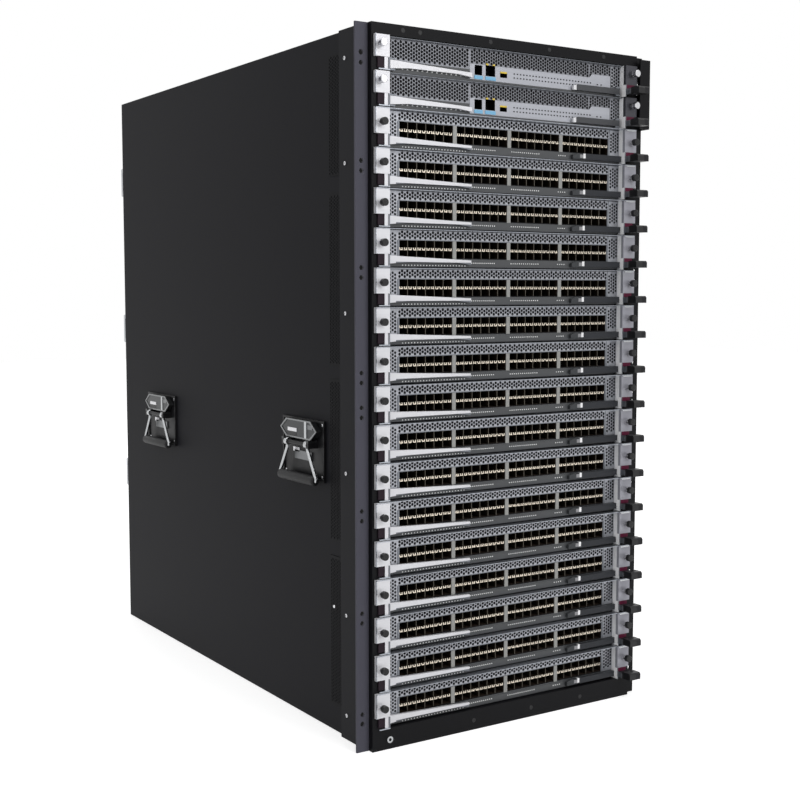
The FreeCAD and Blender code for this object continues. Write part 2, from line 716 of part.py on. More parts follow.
mount_parts = [dish, cheek]
for sign, tag in ((-1, "a"), (1, "b")):
    y = "pivot_span / 2 + run_gap" if sign > 0 else "0 - pivot_span / 2 - run_gap - lug_wall"
    mount_parts.append(block("handle_lug_" + tag, "0 - lug_reach", y, "0 - lug_reach",
                             "lug_reach + pivot_out - dish_wall", "lug_wall", "lug_reach + " + eye))
mount_parts.append(peg("handle_pin", "0", "0 - pivot_span / 2 - lug_wall", "0",
                       "pivot_pin / 2", "pivot_span + 2 * lug_wall", "Y"))
mount_form = join("handle_mount_form", mount_parts)

bail = doc.addObject("PartDesign::Body", "handle_bail")
ends = "(pivot_span / 2 - eye_long / 2)"
root = "0 - bail_eye / 2 + bail_root"
path = bail.newObject("Sketcher::SketchObject", "bail_path")
side_plane = [f for f in bail.Origin.OriginFeatures if f.Role == "YZ_Plane"][0]
path.AttachmentSupport = [(side_plane, "")]
path.MapMode = "FlatFace"
grip_end = "(grip_width / 2 + bail_rod / 2)"
turns = [
    ("0 - " + ends, root),
    ("0 - " + grip_end, "0 - bail_drop"),
    (grip_end, "0 - bail_drop"),
    (ends, root),
]
spots = [V(size(a), size(b), 0) for a, b in turns]
for k in range(3):
    path.addGeometry(Part.LineSegment(spots[k], spots[k + 1]), False)
for k in range(2):
    path.addConstraint(Sketcher.Constraint("Coincident", k, 2, k + 1, 1))
for k in range(4):
    edge, end = (k, 1) if k < 3 else (2, 2)
    across, down = turns[k]
    for kind, text, value in (("DistanceX", across, spots[k].x), ("DistanceY", down, spots[k].y)):
        number = path.addConstraint(Sketcher.Constraint(kind, -1, 1, edge, end, value))
        bind(path, "Constraints[%d]" % number, text)
rod = "bail_rod / 2"
rod_shape = []
for across, back in ((1, 0), (0.5, 1), (-0.5, 1), (-1, 0), (-0.5, -1), (0.5, -1)):
    rod_shape.append(("%s * %g" % (rod, across), "%s * %g - %s" % (rod, back * HEXAGON_FLAT, ends)))
wire = outline(bail, "bail_section", "XY", rod_shape, root)
sweep = bail.newObject("PartDesign::AdditivePipe", "bail_sweep")
sweep.Profile = wire
sweep.Spine = path
sweep.Transition = "Right corner"
doc.recompute()
grip = facet_peg("bail_grip", "0", "0 - grip_width / 2", "0 - bail_drop",
                 "grip_wall / 2", "grip_width", "Y", GRIP_SIDES)
bail_parts = [bail, grip]
for sign, tag in ((-1, "a"), (1, "b")):
    y = "pivot_span / 2 - eye_long" if sign > 0 else "0 - pivot_span / 2"
    bail_parts.append(facet_peg("bail_eye_" + tag, "0", y, "0",
                                "bail_eye / 2", "eye_long", "Y", HOLE_SIDES))
bore_start = "0 - pivot_span / 2 - cut_past"
bore = facet_bore("bail_bore", "0", bore_start, "0", "pivot_pin", "pivot_span + 2 * cut_past", "Y")
bail_form = cut("handle_bail_form", join("bail_solid", bail_parts), bore)
mounts = []
for hand, sign in (("left", -1), ("right", 1)):
    for end in ("front", "rear"):
        x = side(sign, "half + pivot_out")
        y = "front + %s_handle_y" % end
        turn = 0 if sign < 0 else 180
        mounts.append(copy_of("%s_%s_mount" % (hand, end), mount_form, x, y, "side_handle_z", turn))
        label = "%s_%s_carry_handle" % (hand, end)
        keep(label, copy_of(label, bail_form, x, y, "side_handle_z"))
group = doc.addObject("Part::Compound", "handle_mounts_group")
group.Links = mounts
keep("handle_mounts", group)

# Tag plate folded off the right flange, and the grounding jack in the bottom rail.
fold = [
    ("tag_inner", "front - tag_front"),
    ("rack_width / 2", "front - tag_front"),
    ("rack_width / 2", "front + flange_back"),
    ("rack_width / 2 - tag_wall", "front + flange_back"),
    ("rack_width / 2 - tag_wall", "front - tag_front + tag_wall"),
    ("tag_inner", "front - tag_front + tag_wall"),
]
keep("tag_plate", profile("tag_plate_body", "XY", fold, "tag_floor", "tag_tall"))
jack_ring = facet_peg("jack_ring", "0 - jack_out", "front - tag_wall", "jack_floor",
                      "jack_width / 2", "tag_wall", "Y", 2 * HOLE_SIDES)
jack_hole = facet_peg("jack_hole", "0 - jack_out", "front - 2 * tag_wall", "jack_floor",
                      "jack_width / 4", "4 * tag_wall", "Y", GRIP_SIDES)
keep("grounding_jack", cut("grounding_jack_body", jack_ring, jack_hole))

# Plug-in cards. Local frame: the slot's middle and floor, the frame's front face at y = 0.
face_front = "face_back"
face_rear = "(face_back + face_wall)"
card_end = "(face_back + card_length)"
face_half = "face_width / 2"
skin_half = "(face_width / 2 - face_side)"
board_top = "(run_gap + tray_wall + board_wall)"


def fascia(name, pitch):
    """A bent faceplate recessed between two side returns, with a thick fixing ear on each."""
    hat = [
        ("0 - " + face_half, "0 - run_gap - ear_deep"),
        ("0 - " + skin_half, "0 - run_gap - ear_deep"),
        ("0 - " + skin_half, face_front),
        (skin_half, face_front),
        (skin_half, "0 - run_gap - ear_deep"),
        (face_half, "0 - run_gap - ear_deep"),
        (face_half, face_rear),
        ("0 - " + face_half, face_rear),
    ]
    body = profile(name, "XY", hat, "card_gap", pitch + " - 2 * card_gap")
    ears = [
        corners("0 - half", "0 - " + skin_half, "ear_foot", pitch + " - card_gap"),
        corners(skin_half, "half", "ear_foot", pitch + " - card_gap"),
    ]
    sketch = outline(body, name + "_ear_outline", "XZ", ears, "run_gap")
    pad(body, name + "_ears", sketch, "ear_deep")
    return body


def tray(name):
    """A sheet tray that runs on the ledges, with the board, a heat sink and the rear plug."""
    half_width = "card_width / 2"
    channel = [
        ("0 - " + half_width, "run_gap"),
        (half_width, "run_gap"),
        (half_width, "run_gap + tray_side"),
        (half_width + " - tray_wall", "run_gap + tray_side"),
        (half_width + " - tray_wall", board_top),
        ("0 - %s + tray_wall" % half_width, board_top),
        ("0 - %s + tray_wall" % half_width, "run_gap + tray_side"),
        ("0 - " + half_width, "run_gap + tray_side"),
    ]
    length = "(%s - %s)" % (card_end, face_rear)
    parts = [profile(name + "_channel", "XZ", channel, "0 - " + card_end, length)]
    parts.append(block(name + "_sink", "0 - sink_wide / 2", card_end + " - 2 * sink_deep", board_top,
                       "sink_wide", "sink_deep", "sink_tall"))
    parts.append(block(name + "_plug", "0 - plug_wide / 2", card_end + " - plug_length", board_top,
                       "plug_wide", "2 * plug_length", "plug_tall"))
    return parts


def latch_parts(name):
    """The release buttons under the ears, and the grip at the right."""
    grip_plan = [
        (face_half, "0 - run_gap"),
        (face_half, "0 - ear_deep - claw_reach"),
        ("latch_out - claw_reach", "0 - latch_reach"),
        ("latch_out", "0 - latch_reach"),
        ("button_outer", "0 - run_gap"),
    ]
    parts = [profile(name + "_grip", "XY", grip_plan, "right_lever_floor", "latch_tall")]
    for sign, tag in ((-1, "left"), (1, "right")):
        low = "right_lever_floor + latch_tall" if sign > 0 else "right_lever_floor"
        edge = "button_inner" if sign > 0 else "0 - button_outer"
        inner = face_half if sign > 0 else "0 - " + face_half
        x0 = inner if sign > 0 else edge
        wide = "button_outer - face_width / 2"
        deep = "ear_deep" if sign > 0 else "ear_deep / 2"
        parts.append(block(name + "_button_" + tag, x0, "0 - run_gap - " + deep, low,
                           wide, deep, "ear_foot - (%s)" % low))
    return parts


# Ejector arms seen from the front: a shallow arch at the left, a straight bar at the right.
low = "left_lever_floor"
top = "(left_lever_floor + left_lever_tall)"


def left_arm(name, heel):
    arch = [
        (heel, low),
        ("0 - lever_pivot + arm_heel_length", low + " + arm_arch"),
        ("0 - left_lever_tip - arm_tip_length", low + " + arm_arch"),
        ("0 - left_lever_tip", low),
        ("0 - left_lever_tip", top + " - 2 * arm_arch"),
        ("0 - lever_pivot + arm_heel_length", top + " - arm_arch / 2"),
        (heel, top),
    ]
    return profile(name, "XZ", arch, "0 - lever_front - lever_wall", "lever_wall")


def right_arm(name, heel):
    bar = [
        ("right_lever_tip", "right_lever_floor"),
        (heel, "right_lever_floor"),
        (heel, "right_lever_floor + latch_tall"),
        ("right_lever_tip + bar_slant", "right_lever_floor + latch_tall"),
        ("right_lever_tip", "right_lever_floor + latch_tall - arm_arch"),
    ]
    return profile(name, "XZ", bar, "0 - lever_front - lever_wall", "lever_wall")


# Line card: four groups of twelve sockets in two rows.
groups_half = "(%d / 2 * group_wide + %d / 2 * group_gap)" % (SOCKET_GROUPS, SOCKET_GROUPS - 1)
cage_tall = "(2 * socket_tall + socket_bar)"
line_face = fascia("line_face", "line_pitch")
doc.recompute()
cage_half = "(%s + cage_wall)" % groups_half
cage_block = block("line_cage_block", "0 - " + cage_half, face_rear, board_top,
                   "2 * " + cage_half, "socket_depth - face_wall",
                   "socket_floor + %s + cage_wall - %s" % (cage_tall, board_top))
wells = []
for k in range(SOCKET_GROUPS):
    x0 = "%d * (group_wide + group_gap) - %s" % (k, groups_half)
    for level in range(2):
        floor = "socket_floor + %d * (socket_tall + socket_bar)" % level
        wells.append(block("line_well_%d_%d" % (k + 1, level + 1), x0, "face_back - cut_past", floor,
                           "group_wide", "socket_depth - cage_wall + cut_past", "socket_tall"))
wells_cut = doc.addObject("Part::MultiFuse", "line_wells")
wells_cut.Shapes = wells
line_front = cut("line_front", join("line_front_solid", [line_face, cage_block]), wells_cut)
line_parts = [line_front] + tray("line_tray") + latch_parts("line_latch")
line_parts += [left_arm("line_left_arm", "0 - " + skin_half), right_arm("line_right_arm", skin_half)]
line_form = join("line_card_form", line_parts)
for slot in range(LINE_SLOTS):
    label = "line_card_%02d" % (slot + 1)
    z = "bottom_rail + %d * line_pitch" % (LINE_SLOTS - 1 - slot)
    keep(label, copy_of(label, line_form, "0", "front", z))

# Control card: a plain face with a raised indicator plate and three jacks.
control_face = fascia("control_face", "control_pitch")
doc.recompute()
badge_top = "badge_floor + badge_tall"
badge_shape = [
    ("0 - badge_left", "badge_floor"),
    ("badge_right", "badge_floor"),
    ("badge_right", badge_top + " + badge_step"),
    ("badge_right - badge_step_wide", badge_top + " + badge_step"),
    ("badge_right - badge_step_wide - badge_step", badge_top),
    ("0 - badge_left", badge_top),
]
sketch = outline(control_face, "control_badge_outline", "XZ", badge_shape, "0 - face_back")
pad(control_face, "control_badge", sketch, "badge_out")
housings = []
bores = []
for kind in ("service", "network", "memory"):
    x0 = "0 - %s_jack_left" % kind
    wide = "%s_jack_left - %s_jack_right" % (kind, kind)
    tall = "%s_jack_tall" % kind
    bores.append(block("%s_jack_bore" % kind, x0, "face_back - 2 * badge_out", "port_floor",
                       wide, "jack_depth + 2 * badge_out", tall))
    housings.append(block("%s_jack_housing" % kind, x0 + " - cage_wall", face_rear, board_top,
                          wide + " + 2 * cage_wall", "jack_depth",
                          "port_floor + %s + cage_wall - %s" % (tall, board_top)))
jack_bores = doc.addObject("Part::MultiFuse", "control_jack_bores")
jack_bores.Shapes = bores
control_front = cut("control_front", join("control_front_solid", [control_face] + housings), jack_bores)
lugs = []
ARM_ENDS = (
    (-1, "left", "left_lever_floor", "left_lever_tall"),
    (1, "right", "right_lever_floor", "latch_tall"),
)
for sign, tag, z0, rise in ARM_ENDS:
    x = side(sign, "lever_pivot")
    foot = z0 + " - run_gap - lug_rise"
    for end, z in (("low", foot), ("high", "%s + %s + run_gap" % (z0, rise))):
        lugs.append(block("control_lug_%s_%s" % (tag, end), x + " - lug_side / 2", "lever_front", z,
                          "lug_side", "face_back - lever_front", "lug_rise"))
    lugs.append(peg("control_pin_" + tag, x, "lever_front + lever_wall / 2", foot,
                    "lever_pin / 2", "%s + 2 * run_gap + 2 * lug_rise" % rise, "Z"))
control_parts = [control_front] + lugs + tray("control_tray") + latch_parts("control_latch")
control_form = join("control_card_form", control_parts)
arms = {}
for hand, sign, arm in (("left", -1, left_arm), ("right", 1, right_arm)):
    x = side(sign, "lever_pivot")
    blank = arm("control_arm_blank_" + hand, side(sign, "lever_pivot + lever_heel"))
    pin_line = "lever_front + lever_wall / 2"
    bore = facet_bore("arm_bore_" + hand, x, pin_line, "0 - cut_past", "lever_pin", "line_pitch", "Z")
    arms[hand] = cut("control_arm_" + hand, blank, bore)
for slot, word in enumerate(("lower", "upper")):
    z = "bottom_rail + %d * line_pitch + %d * control_pitch" % (LINE_SLOTS, slot)
    label = "%s_control_card" % word
    keep(label, copy_of(label, control_form, "0", "front", z))
    for hand in ("left", "right"):
        label = "%s_control_%s_lever" % (word, hand)
        keep(label, copy_of(label, arms[hand], "0", "front", z))

doc.recompute()
broken = [obj.Label for obj in doc.Objects if "Invalid" in obj.State or "Error" in obj.State]
if broken:
    raise RuntimeError("these did not compute: %s" % ", ".join(broken))
for label, obj in nodes.items():
    if obj.Shape.isNull() or not obj.Shape.isValid():
        raise RuntimeError("%s has no sound shape" % label)
for label, obj in nodes.items():
    obj.Shape.exportStep(os.path.join("parts", label + ".step"))
print("%d pieces written" % len(nodes))
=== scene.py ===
import bpy
import math
from mathutils import Matrix, Vector


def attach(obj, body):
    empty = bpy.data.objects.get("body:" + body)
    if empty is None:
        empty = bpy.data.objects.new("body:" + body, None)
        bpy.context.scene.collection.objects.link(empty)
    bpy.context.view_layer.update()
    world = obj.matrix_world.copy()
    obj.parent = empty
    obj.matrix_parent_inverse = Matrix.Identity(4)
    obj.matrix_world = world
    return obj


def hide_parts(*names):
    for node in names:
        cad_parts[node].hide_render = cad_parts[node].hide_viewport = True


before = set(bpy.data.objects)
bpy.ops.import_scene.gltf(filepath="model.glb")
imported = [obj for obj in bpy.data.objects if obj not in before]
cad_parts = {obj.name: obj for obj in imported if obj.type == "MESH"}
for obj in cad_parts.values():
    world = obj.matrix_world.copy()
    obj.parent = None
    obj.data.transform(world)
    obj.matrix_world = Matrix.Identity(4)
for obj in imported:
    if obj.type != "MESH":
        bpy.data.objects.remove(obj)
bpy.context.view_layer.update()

# Sizes are in millimetres, in the part's own axes: the front towards -Y, Z up, X = 0 in the middle.
MM = 0.001
FRONT = -428.5  # the front frame's face
REAR = 428.5
FLANK = 220.0  # from the middle to the body's side
BOTTOM_RAIL = 28.0
LINE_PITCH = 50.0
CONTROL_PITCH = 44.5
LINE_CARDS = ["line_card_%02d" % k for k in range(1, 17)]
CONTROL_CARDS = ["lower_control_card", "upper_control_card"]
CONTROL_FLOOR = BOTTOM_RAIL + LINE_PITCH * len(LINE_CARDS)
HANDLES = [
    hand + end
    for hand in ("left_", "right_")
    for end in ("front_carry_handle", "rear_carry_handle")
]


# ---------------------------------------------------------------- finishes

def wire(tree, source, target):
    tree.links.new(source, target)


def math_node(tree, operation, a, b):
    node = tree.nodes.new("ShaderNodeMath")
    node.operation = operation
    for socket, value in zip(node.inputs, (a, b)):
        if isinstance(value, (int, float)):
            socket.default_value = value
        else:
            wire(tree, value, socket)
    return node.outputs[0]


class Finish:
    """A surface finish: grain in colour, roughness and relief, and zones with their own colour."""

    def __init__(self, name, colour, metallic, roughness, grain=160.0, stretch=(1, 1, 1),
                 shade=0.12, relief=0.05, sheen=0.5):
        self.material = bpy.data.materials.new(name)
        self.material.use_nodes = True
        self.tree = self.material.node_tree
        self.shader = self.tree.nodes["Principled BSDF"]
        self.metallic = metallic
        self.roughness = roughness
        self.colour = colour
        tree = self.tree
        coordinates = tree.nodes.new("ShaderNodeTexCoord")
        self.place = coordinates.outputs["Object"]
        mapping = tree.nodes.new("ShaderNodeMapping")
        mapping.inputs["Scale"].default_value = stretch
        wire(tree, self.place, mapping.inputs["Vector"])
        noise = tree.nodes.new("ShaderNodeTexNoise")
        noise.inputs["Scale"].default_value = grain
        noise.inputs["Detail"].default_value = 4.0
        wire(tree, mapping.outputs["Vector"], noise.inputs["Vector"])
        self.noise = noise.outputs["Fac"]
        cloud = tree.nodes.new("ShaderNodeTexNoise")
        cloud.inputs["Scale"].default_value = 4.0
        wire(tree, self.place, cloud.inputs["Vector"])
        fine = math_node(tree, "MULTIPLY", self.noise, 0.7)
        broad = math_node(tree, "MULTIPLY", cloud.outputs["Fac"], 0.3)
        blend = math_node(tree, "ADD", fine, broad)
        self.tone = math_node(tree, "ADD", math_node(tree, "MULTIPLY", blend, shade), 1.0 - shade / 2)
        self.zones = []
        bump = tree.nodes.new("ShaderNodeBump")
        bump.inputs["Strength"].default_value = relief
        bump.inputs["Distance"].default_value = 0.0005
        wire(tree, self.noise, bump.inputs["Height"])
        wire(tree, bump.outputs["Normal"], self.shader.inputs["Normal"])
        self.shader.inputs["Specular IOR Level"].default_value = sheen

    def axes(self, pitch=None, start=0.0):
        """The place in millimetres, with the height taken within one card's pitch where there is one."""
        split = self.tree.nodes.new("ShaderNodeSeparateXYZ")
        wire(self.tree, self.place, split.inputs[0])
        x, y, z = [math_node(self.tree, "MULTIPLY", socket, 1000.0) for socket in split.outputs]
        if pitch:
            z = math_node(self.tree, "SUBTRACT", z, start)
            z = math_node(self.tree, "FLOORED_MODULO", z, pitch)
        self.xyz = (x, y, z)
        return self

    def zone(self, low, high, colour, metallic, roughness):
        """Paints a box of the piece in its own finish; None leaves a side of the box open."""
        mask = None
        for value, least, most in zip(self.xyz, low, high):
            for operation, edge in (("GREATER_THAN", least), ("LESS_THAN", most)):
                if edge is None:
                    continue
                test = math_node(self.tree, operation, value, edge)
                mask = test if mask is None else math_node(self.tree, "MULTIPLY", mask, test)
        self.zones.append((mask, colour, metallic, roughness))
        return self

    def mix(self, kind, mask, old, new):
        node = self.tree.nodes.new("ShaderNodeMix")
        node.data_type = kind
        sockets = {"FLOAT": (0, 2, 3, 0), "RGBA": (0, 6, 7, 2)}[kind]
        wire(self.tree, mask, node.inputs[sockets[0]])
        for number, value in ((sockets[1], old), (sockets[2], new)):
            if isinstance(value, (int, float, tuple)):
                node.inputs[number].default_value = value
            else:
                wire(self.tree, value, node.inputs[number])
        return node.outputs[sockets[3]]

    def done(self):
        """Lays the zones over the ground finish, later ones on top, and returns the material."""
        tree = self.tree
        colour = tuple(self.colour) + (1.0,)
        metallic = self.metallic
        rough = self.roughness
        for mask, zone_colour, zone_metallic, zone_rough in self.zones:
            colour = self.mix("RGBA", mask, colour, tuple(zone_colour) + (1.0,))
            metallic = self.mix("FLOAT", mask, metallic, zone_metallic)
            rough = self.mix("FLOAT", mask, rough, zone_rough)
        tinted = tree.nodes.new("ShaderNodeVectorMath")
        tinted.operation = "SCALE"
        if isinstance(colour, tuple):
            tinted.inputs[0].default_value = colour[:3]
        else:
            wire(tree, colour, tinted.inputs[0])
        wire(tree, self.tone, tinted.inputs["Scale"])
        wire(tree, tinted.outputs[0], self.shader.inputs["Base Color"])
        if isinstance(metallic, (int, float)):
            self.shader.inputs["Metallic"].default_value = metallic
        else:
            wire(tree, metallic, self.shader.inputs["Metallic"])
        spread = math_node(tree, "MULTIPLY", math_node(tree, "SUBTRACT", self.noise, 0.5), 0.16)
        wire(tree, math_node(tree, "ADD", spread, rough), self.shader.inputs["Roughness"])
        return self.material


def coat(name, colour, metallic, roughness, **texture):
    """A finish without zones."""
    return Finish(name, colour, metallic, roughness, **texture).done()


CHARCOAL = (0.0072, 0.0072, 0.0092)
SATIN_BLACK = (0.005, 0.005, 0.006)
VENT_BLACK = (0.004, 0.004, 0.005)
# painted shade: near black on the flange's leg, seen through the holes in its face
HOLE_PAINTED_SHADE = (0.001, 0.001, 0.001)
FLANGE_GREY = (0.078, 0.077, 0.098)
DISH_BLACK = (0.008, 0.008, 0.009)
HOUSING_GREY = (0.05, 0.052, 0.054)
NICKEL = (0.17, 0.18, 0.20)
BRIGHT_NICKEL = (0.36, 0.38, 0.42)
WEB_NICKEL = (0.34, 0.35, 0.38)
WEB_STEEL = (0.20, 0.205, 0.225)
EAR_WHITE = (0.72, 0.72, 0.75)
# the next two are painted shade: the right ears' silver, darker than the left ears' because less light
# falls there
EAR_PAINTED_SHADE = (0.34, 0.34, 0.38)
EAR_DEEP_PAINTED_SHADE = (0.07, 0.07, 0.08)
# painted light: the right return's inner face, lit from the left, painted near white
RETURN_PAINTED_LIGHT = (0.95, 0.95, 0.96)
PANEL_GREY = (0.42, 0.43, 0.47)
# painted shade: the right arms' and levers' silver, darker than the left ones because less light falls
# there
ARM_PAINTED_SHADE = (0.035, 0.037, 0.042)
STRIP_GREY = (0.055, 0.058, 0.062)
GRIP_BLACK = (0.018, 0.018, 0.02)
PLUM = (0.10, 0.012, 0.035)
# painted shade: the release buttons' plum, darkened on the left one
PLUM_PAINTED_SHADE = (0.02, 0.012, 0.018)
# the sockets' own dark, and painted shade on faces behind perforated sheets and vents
SOCKET_DARK_AND_HOLE_SHADE = (0.003, 0.003, 0.004)
SOCKET_BROWN = (0.022, 0.015, 0.011)
PLASTIC_BLACK = (0.009, 0.009, 0.010)
POWDER = dict(grain=900.0, relief=0.12)
BRUSHED = dict(grain=60.0, stretch=(0.05, 1, 8))

shell_paint = coat("charcoal_powder_coat", CHARCOAL, 0.0, 0.55, shade=0.10, sheen=0.07, **POWDER)
vent_paint = coat("vent_powder_coat", VENT_BLACK, 0.0, 0.55, sheen=0.08, **POWDER)
frame_paint = coat("satin_black_paint", SATIN_BLACK, 0.0, 0.42, grain=700.0, relief=0.08, sheen=0.10)
bare_steel = coat("zinc_plate", (0.50, 0.51, 0.53), 0.9, 0.38, grain=60.0, shade=0.2, relief=0.03)
board_green = coat("board_lacquer", (0.02, 0.09, 0.045), 0.0, 0.35, grain=240.0, shade=0.3)
nickel_sheet = coat("brushed_nickel", NICKEL, 0.7, 0.40, shade=0.3, **BRUSHED)
bright_nickel = coat("bright_nickel", BRIGHT_NICKEL, 0.8, 0.28, shade=0.3, **BRUSHED)
ear_silver = coat("silver_lacquer", EAR_WHITE, 0.25, 0.35, grain=500.0, shade=0.06, relief=0.03)
black_plastic = coat("black_plastic", PLASTIC_BLACK, 0.0, 0.38, grain=300.0, relief=0.06, sheen=0.3)
rotor_plastic = coat("rotor_plastic", (0.02, 0.02, 0.021), 0.0, 0.5, grain=300.0, relief=0.06)
strip_grey = coat("strip_grey", STRIP_GREY, 0.1, 0.4, grain=220.0, relief=0.03)
divider_bronze = coat("divider_bronze", (0.085, 0.075, 0.06), 0.5, 0.45, grain=180.0, shade=0.3)
divider_dark = coat("divider_inner", (0.016, 0.012, 0.008), 0.2, 0.5, grain=180.0, shade=0.4, sheen=0.2)
web_nickel = coat("perforated_nickel", WEB_NICKEL, 0.75, 0.32, grain=700.0, shade=0.9)
web_dim = coat("perforated_steel", WEB_STEEL, 0.75, 0.34, grain=700.0, shade=0.9)
# painted shade: the near-black linings behind the flank vents
vent_black = coat("vent_black", SOCKET_DARK_AND_HOLE_SHADE, 0.0, 0.6, grain=400.0, sheen=0.1)
spring_gold = coat("spring_finger_gold", (0.78, 0.70, 0.58), 0.9, 0.30, grain=120.0, shade=0.5)
lamp_white = coat("lamp_lens", (0.82, 0.83, 0.82), 0.0, 0.3, grain=200.0)
lamp_dark = coat("dark_lens", (0.02, 0.02, 0.022), 0.0, 0.25, grain=200.0)
chrome = coat("polished_chrome", (0.42, 0.43, 0.44), 1.0, 0.16, grain=40.0, shade=0.08, relief=0.01)
rubber = coat("grip_rubber", PLASTIC_BLACK, 0.0, 0.55, grain=260.0, relief=0.2, sheen=0.3)
housing_steel = coat("housing_steel", (0.16, 0.165, 0.17), 0.9, 0.3, grain=90.0, shade=0.4)
rim_steel = coat("rim_steel", (0.20, 0.205, 0.21), 0.8, 0.28, grain=90.0, shade=0.4)
steel_screw = coat("screw_steel", (0.60, 0.60, 0.62), 1.0, 0.28, grain=90.0, shade=0.15)
blue_tab = coat("blue_tab", (0.20, 0.48, 0.72), 0.0, 0.4, grain=200.0)
yellow_tab = coat("yellow_lens", (0.75, 0.55, 0.06), 0.0, 0.35, grain=200.0)
separator_grey = coat("separator_steel", (0.26, 0.26, 0.25), 0.5, 0.4, grain=200.0, shade=0.4)


def flange_coat():
    """The left flange: a grey face, its leg like the shell, and painted shade, near black, on the leg just
    behind the face's holes.
    """
    leg_out, skin_in, leg_in = -226.5, -225.9, -222.5
    face_back, shadow_end = FRONT + 12.1, FRONT + 34.0
    finish = Finish("flange_powder_coat", FLANGE_GREY, 0.0, 0.50, sheen=0.10, **POWDER)
    finish.axes()
    finish.zone((leg_out, face_back, None), (leg_in, None, None), CHARCOAL, 0.0, 0.55)
    # painted shade: the leg just behind the face is painted near black so the holes read dark
    finish.zone((leg_out, face_back, None), (skin_in, shadow_end, None), HOLE_PAINTED_SHADE, 0.0, 0.7)
    return finish.done()


def mount_coat():
    """The handles' mounts: dark, with the housings above the pivots lighter."""
    housing_floor, face = 391.0, 223.5
    finish = Finish("handle_housing", DISH_BLACK, 0.1, 0.42, grain=90.0, shade=0.3, sheen=0.2)
    finish.axes()
    finish.zone((None, None, housing_floor), (-face, None, None), HOUSING_GREY, 0.8, 0.3)
    finish.zone((face, None, housing_floor), (None, None, None), HOUSING_GREY, 0.8, 0.3)
    return finish.done()


RETURN_IN = 198.3  # from a card's middle to a side return


def card_coat(name, pitch, start, face_zones, right_ear, arm_zones):
    """A card's metal, with its face, ears, side return, arms, grip and release buttons in zones; painted
    shade on the face behind the perforations, on the right ear and on the left release button, painted
    light on the right return's inner face, and on line cards painted shade and a painted highlight on the
    right arm.
    """
    grip_in = 200.1
    ear_back = FRONT + 0.5
    button_back = FRONT + 0.1
    button_top = 16.95
    # painted shade: the faceplate's front behind the perforated sheets is painted near black, seen through
    # the holes
    zones = [((-RETURN_IN, FRONT + 8.9, None), (RETURN_IN, FRONT + 9.2, None), SOCKET_DARK_AND_HOLE_SHADE, 0.0, 0.6)]
    zones += face_zones
    zones += [
        ((None, None, 16.9), (-RETURN_IN, ear_back, None), EAR_WHITE, 0.25, 0.35),
        # painted light: the right return's inner face, lit from the left, is painted near white
        ((197.9, FRONT - 4.2, None), (200.05, FRONT + 8.9, None), RETURN_PAINTED_LIGHT, 0.0, 0.4),
        # the right ear in painted shade
        ((RETURN_IN, None, 16.9), (None, ear_back, None)) + right_ear,
    ]
    zones += arm_zones
    zones += [
        ((grip_in, None, 3.0), (None, FRONT - 0.1, 11.6), GRIP_BLACK, 0.0, 0.4),
        ((grip_in, None, 11.6), (None, button_back, button_top), PLUM, 0.0, 0.4),
        # the left release button in painted shade, the same plum as the right one
        ((None, None, 3.0), (-grip_in, button_back, button_top), PLUM_PAINTED_SHADE, 0.0, 0.45),
    ]
    finish = Finish(name, NICKEL, 0.7, 0.38, shade=0.14, sheen=0.12, **BRUSHED)
    finish.axes(pitch, start)
    for zone in zones:
        finish.zone(*zone)
    return finish.done()


ARM_BACK = FRONT + 6.6
LINE_FACE_ZONES = [
    ((-177.5, FRONT + 9.1, 13.0), (177.5, FRONT + 54.0, 35.6), SOCKET_BROWN, 0.0, 0.5),
]
LINE_ARM_ZONES = [
    ((-RETURN_IN, None, 4.0), (-60.0, ARM_BACK, 16.0), EAR_WHITE, 0.2, 0.32),
    ((-185.0, None, 4.0), (-60.0, ARM_BACK, 7.4), NICKEL, 0.4, 0.35),
    # the right arm in painted shade
    ((100.0, None, 3.0), (RETURN_IN, ARM_BACK, 12.0), ARM_PAINTED_SHADE, 0.1, 0.38),
    ((100.0, None, 3.0), (121.0, ARM_BACK, 12.0), STRIP_GREY, 0.1, 0.4),
    # painted light on the right arm's rounded tip: a half-lit band, then a painted highlight
    ((121.0, None, 5.0), (127.0, ARM_BACK, 10.0), (0.26, 0.26, 0.27), 0.3, 0.3),
    ((127.0, None, 5.0), (131.0, ARM_BACK, 11.6), (0.85, 0.85, 0.86), 0.3, 0.25),
]
CONTROL_FACE_ZONES = [
    ((-RETURN_IN, FRONT + 8.0, 3.4), (RETURN_IN, FRONT + 8.5, 29.0), PANEL_GREY, 0.3, 0.38),
    ((-59.0, FRONT + 8.6, 9.0), (-3.0, FRONT + 26.0, 24.0), SOCKET_DARK_AND_HOLE_SHADE, 0.0, 0.5),
]
line_metal = card_coat(
    "line_card_metal", LINE_PITCH, BOTTOM_RAIL, LINE_FACE_ZONES, (EAR_PAINTED_SHADE, 0.3, 0.35), LINE_ARM_ZONES
)
control_metal = card_coat(
    "control_card_metal", CONTROL_PITCH, CONTROL_FLOOR, CONTROL_FACE_ZONES, (EAR_DEEP_PAINTED_SHADE, 0.6, 0.3), []
)
left_lever = coat("left_lever_lacquer", EAR_WHITE, 0.2, 0.32, grain=300.0, shade=0.08)
# the right lever in painted shade, the same silver as the lit left lever
right_lever = Finish("right_lever_lacquer", ARM_PAINTED_SHADE, 0.1, 0.38, grain=300.0).axes()
# painted light: the lever's tip, left of x 113, is painted in the lit silver
right_lever = right_lever.zone((None, None, None), (113.0, None, None), (0.72, 0.72, 0.74), 0.3, 0.3).done()

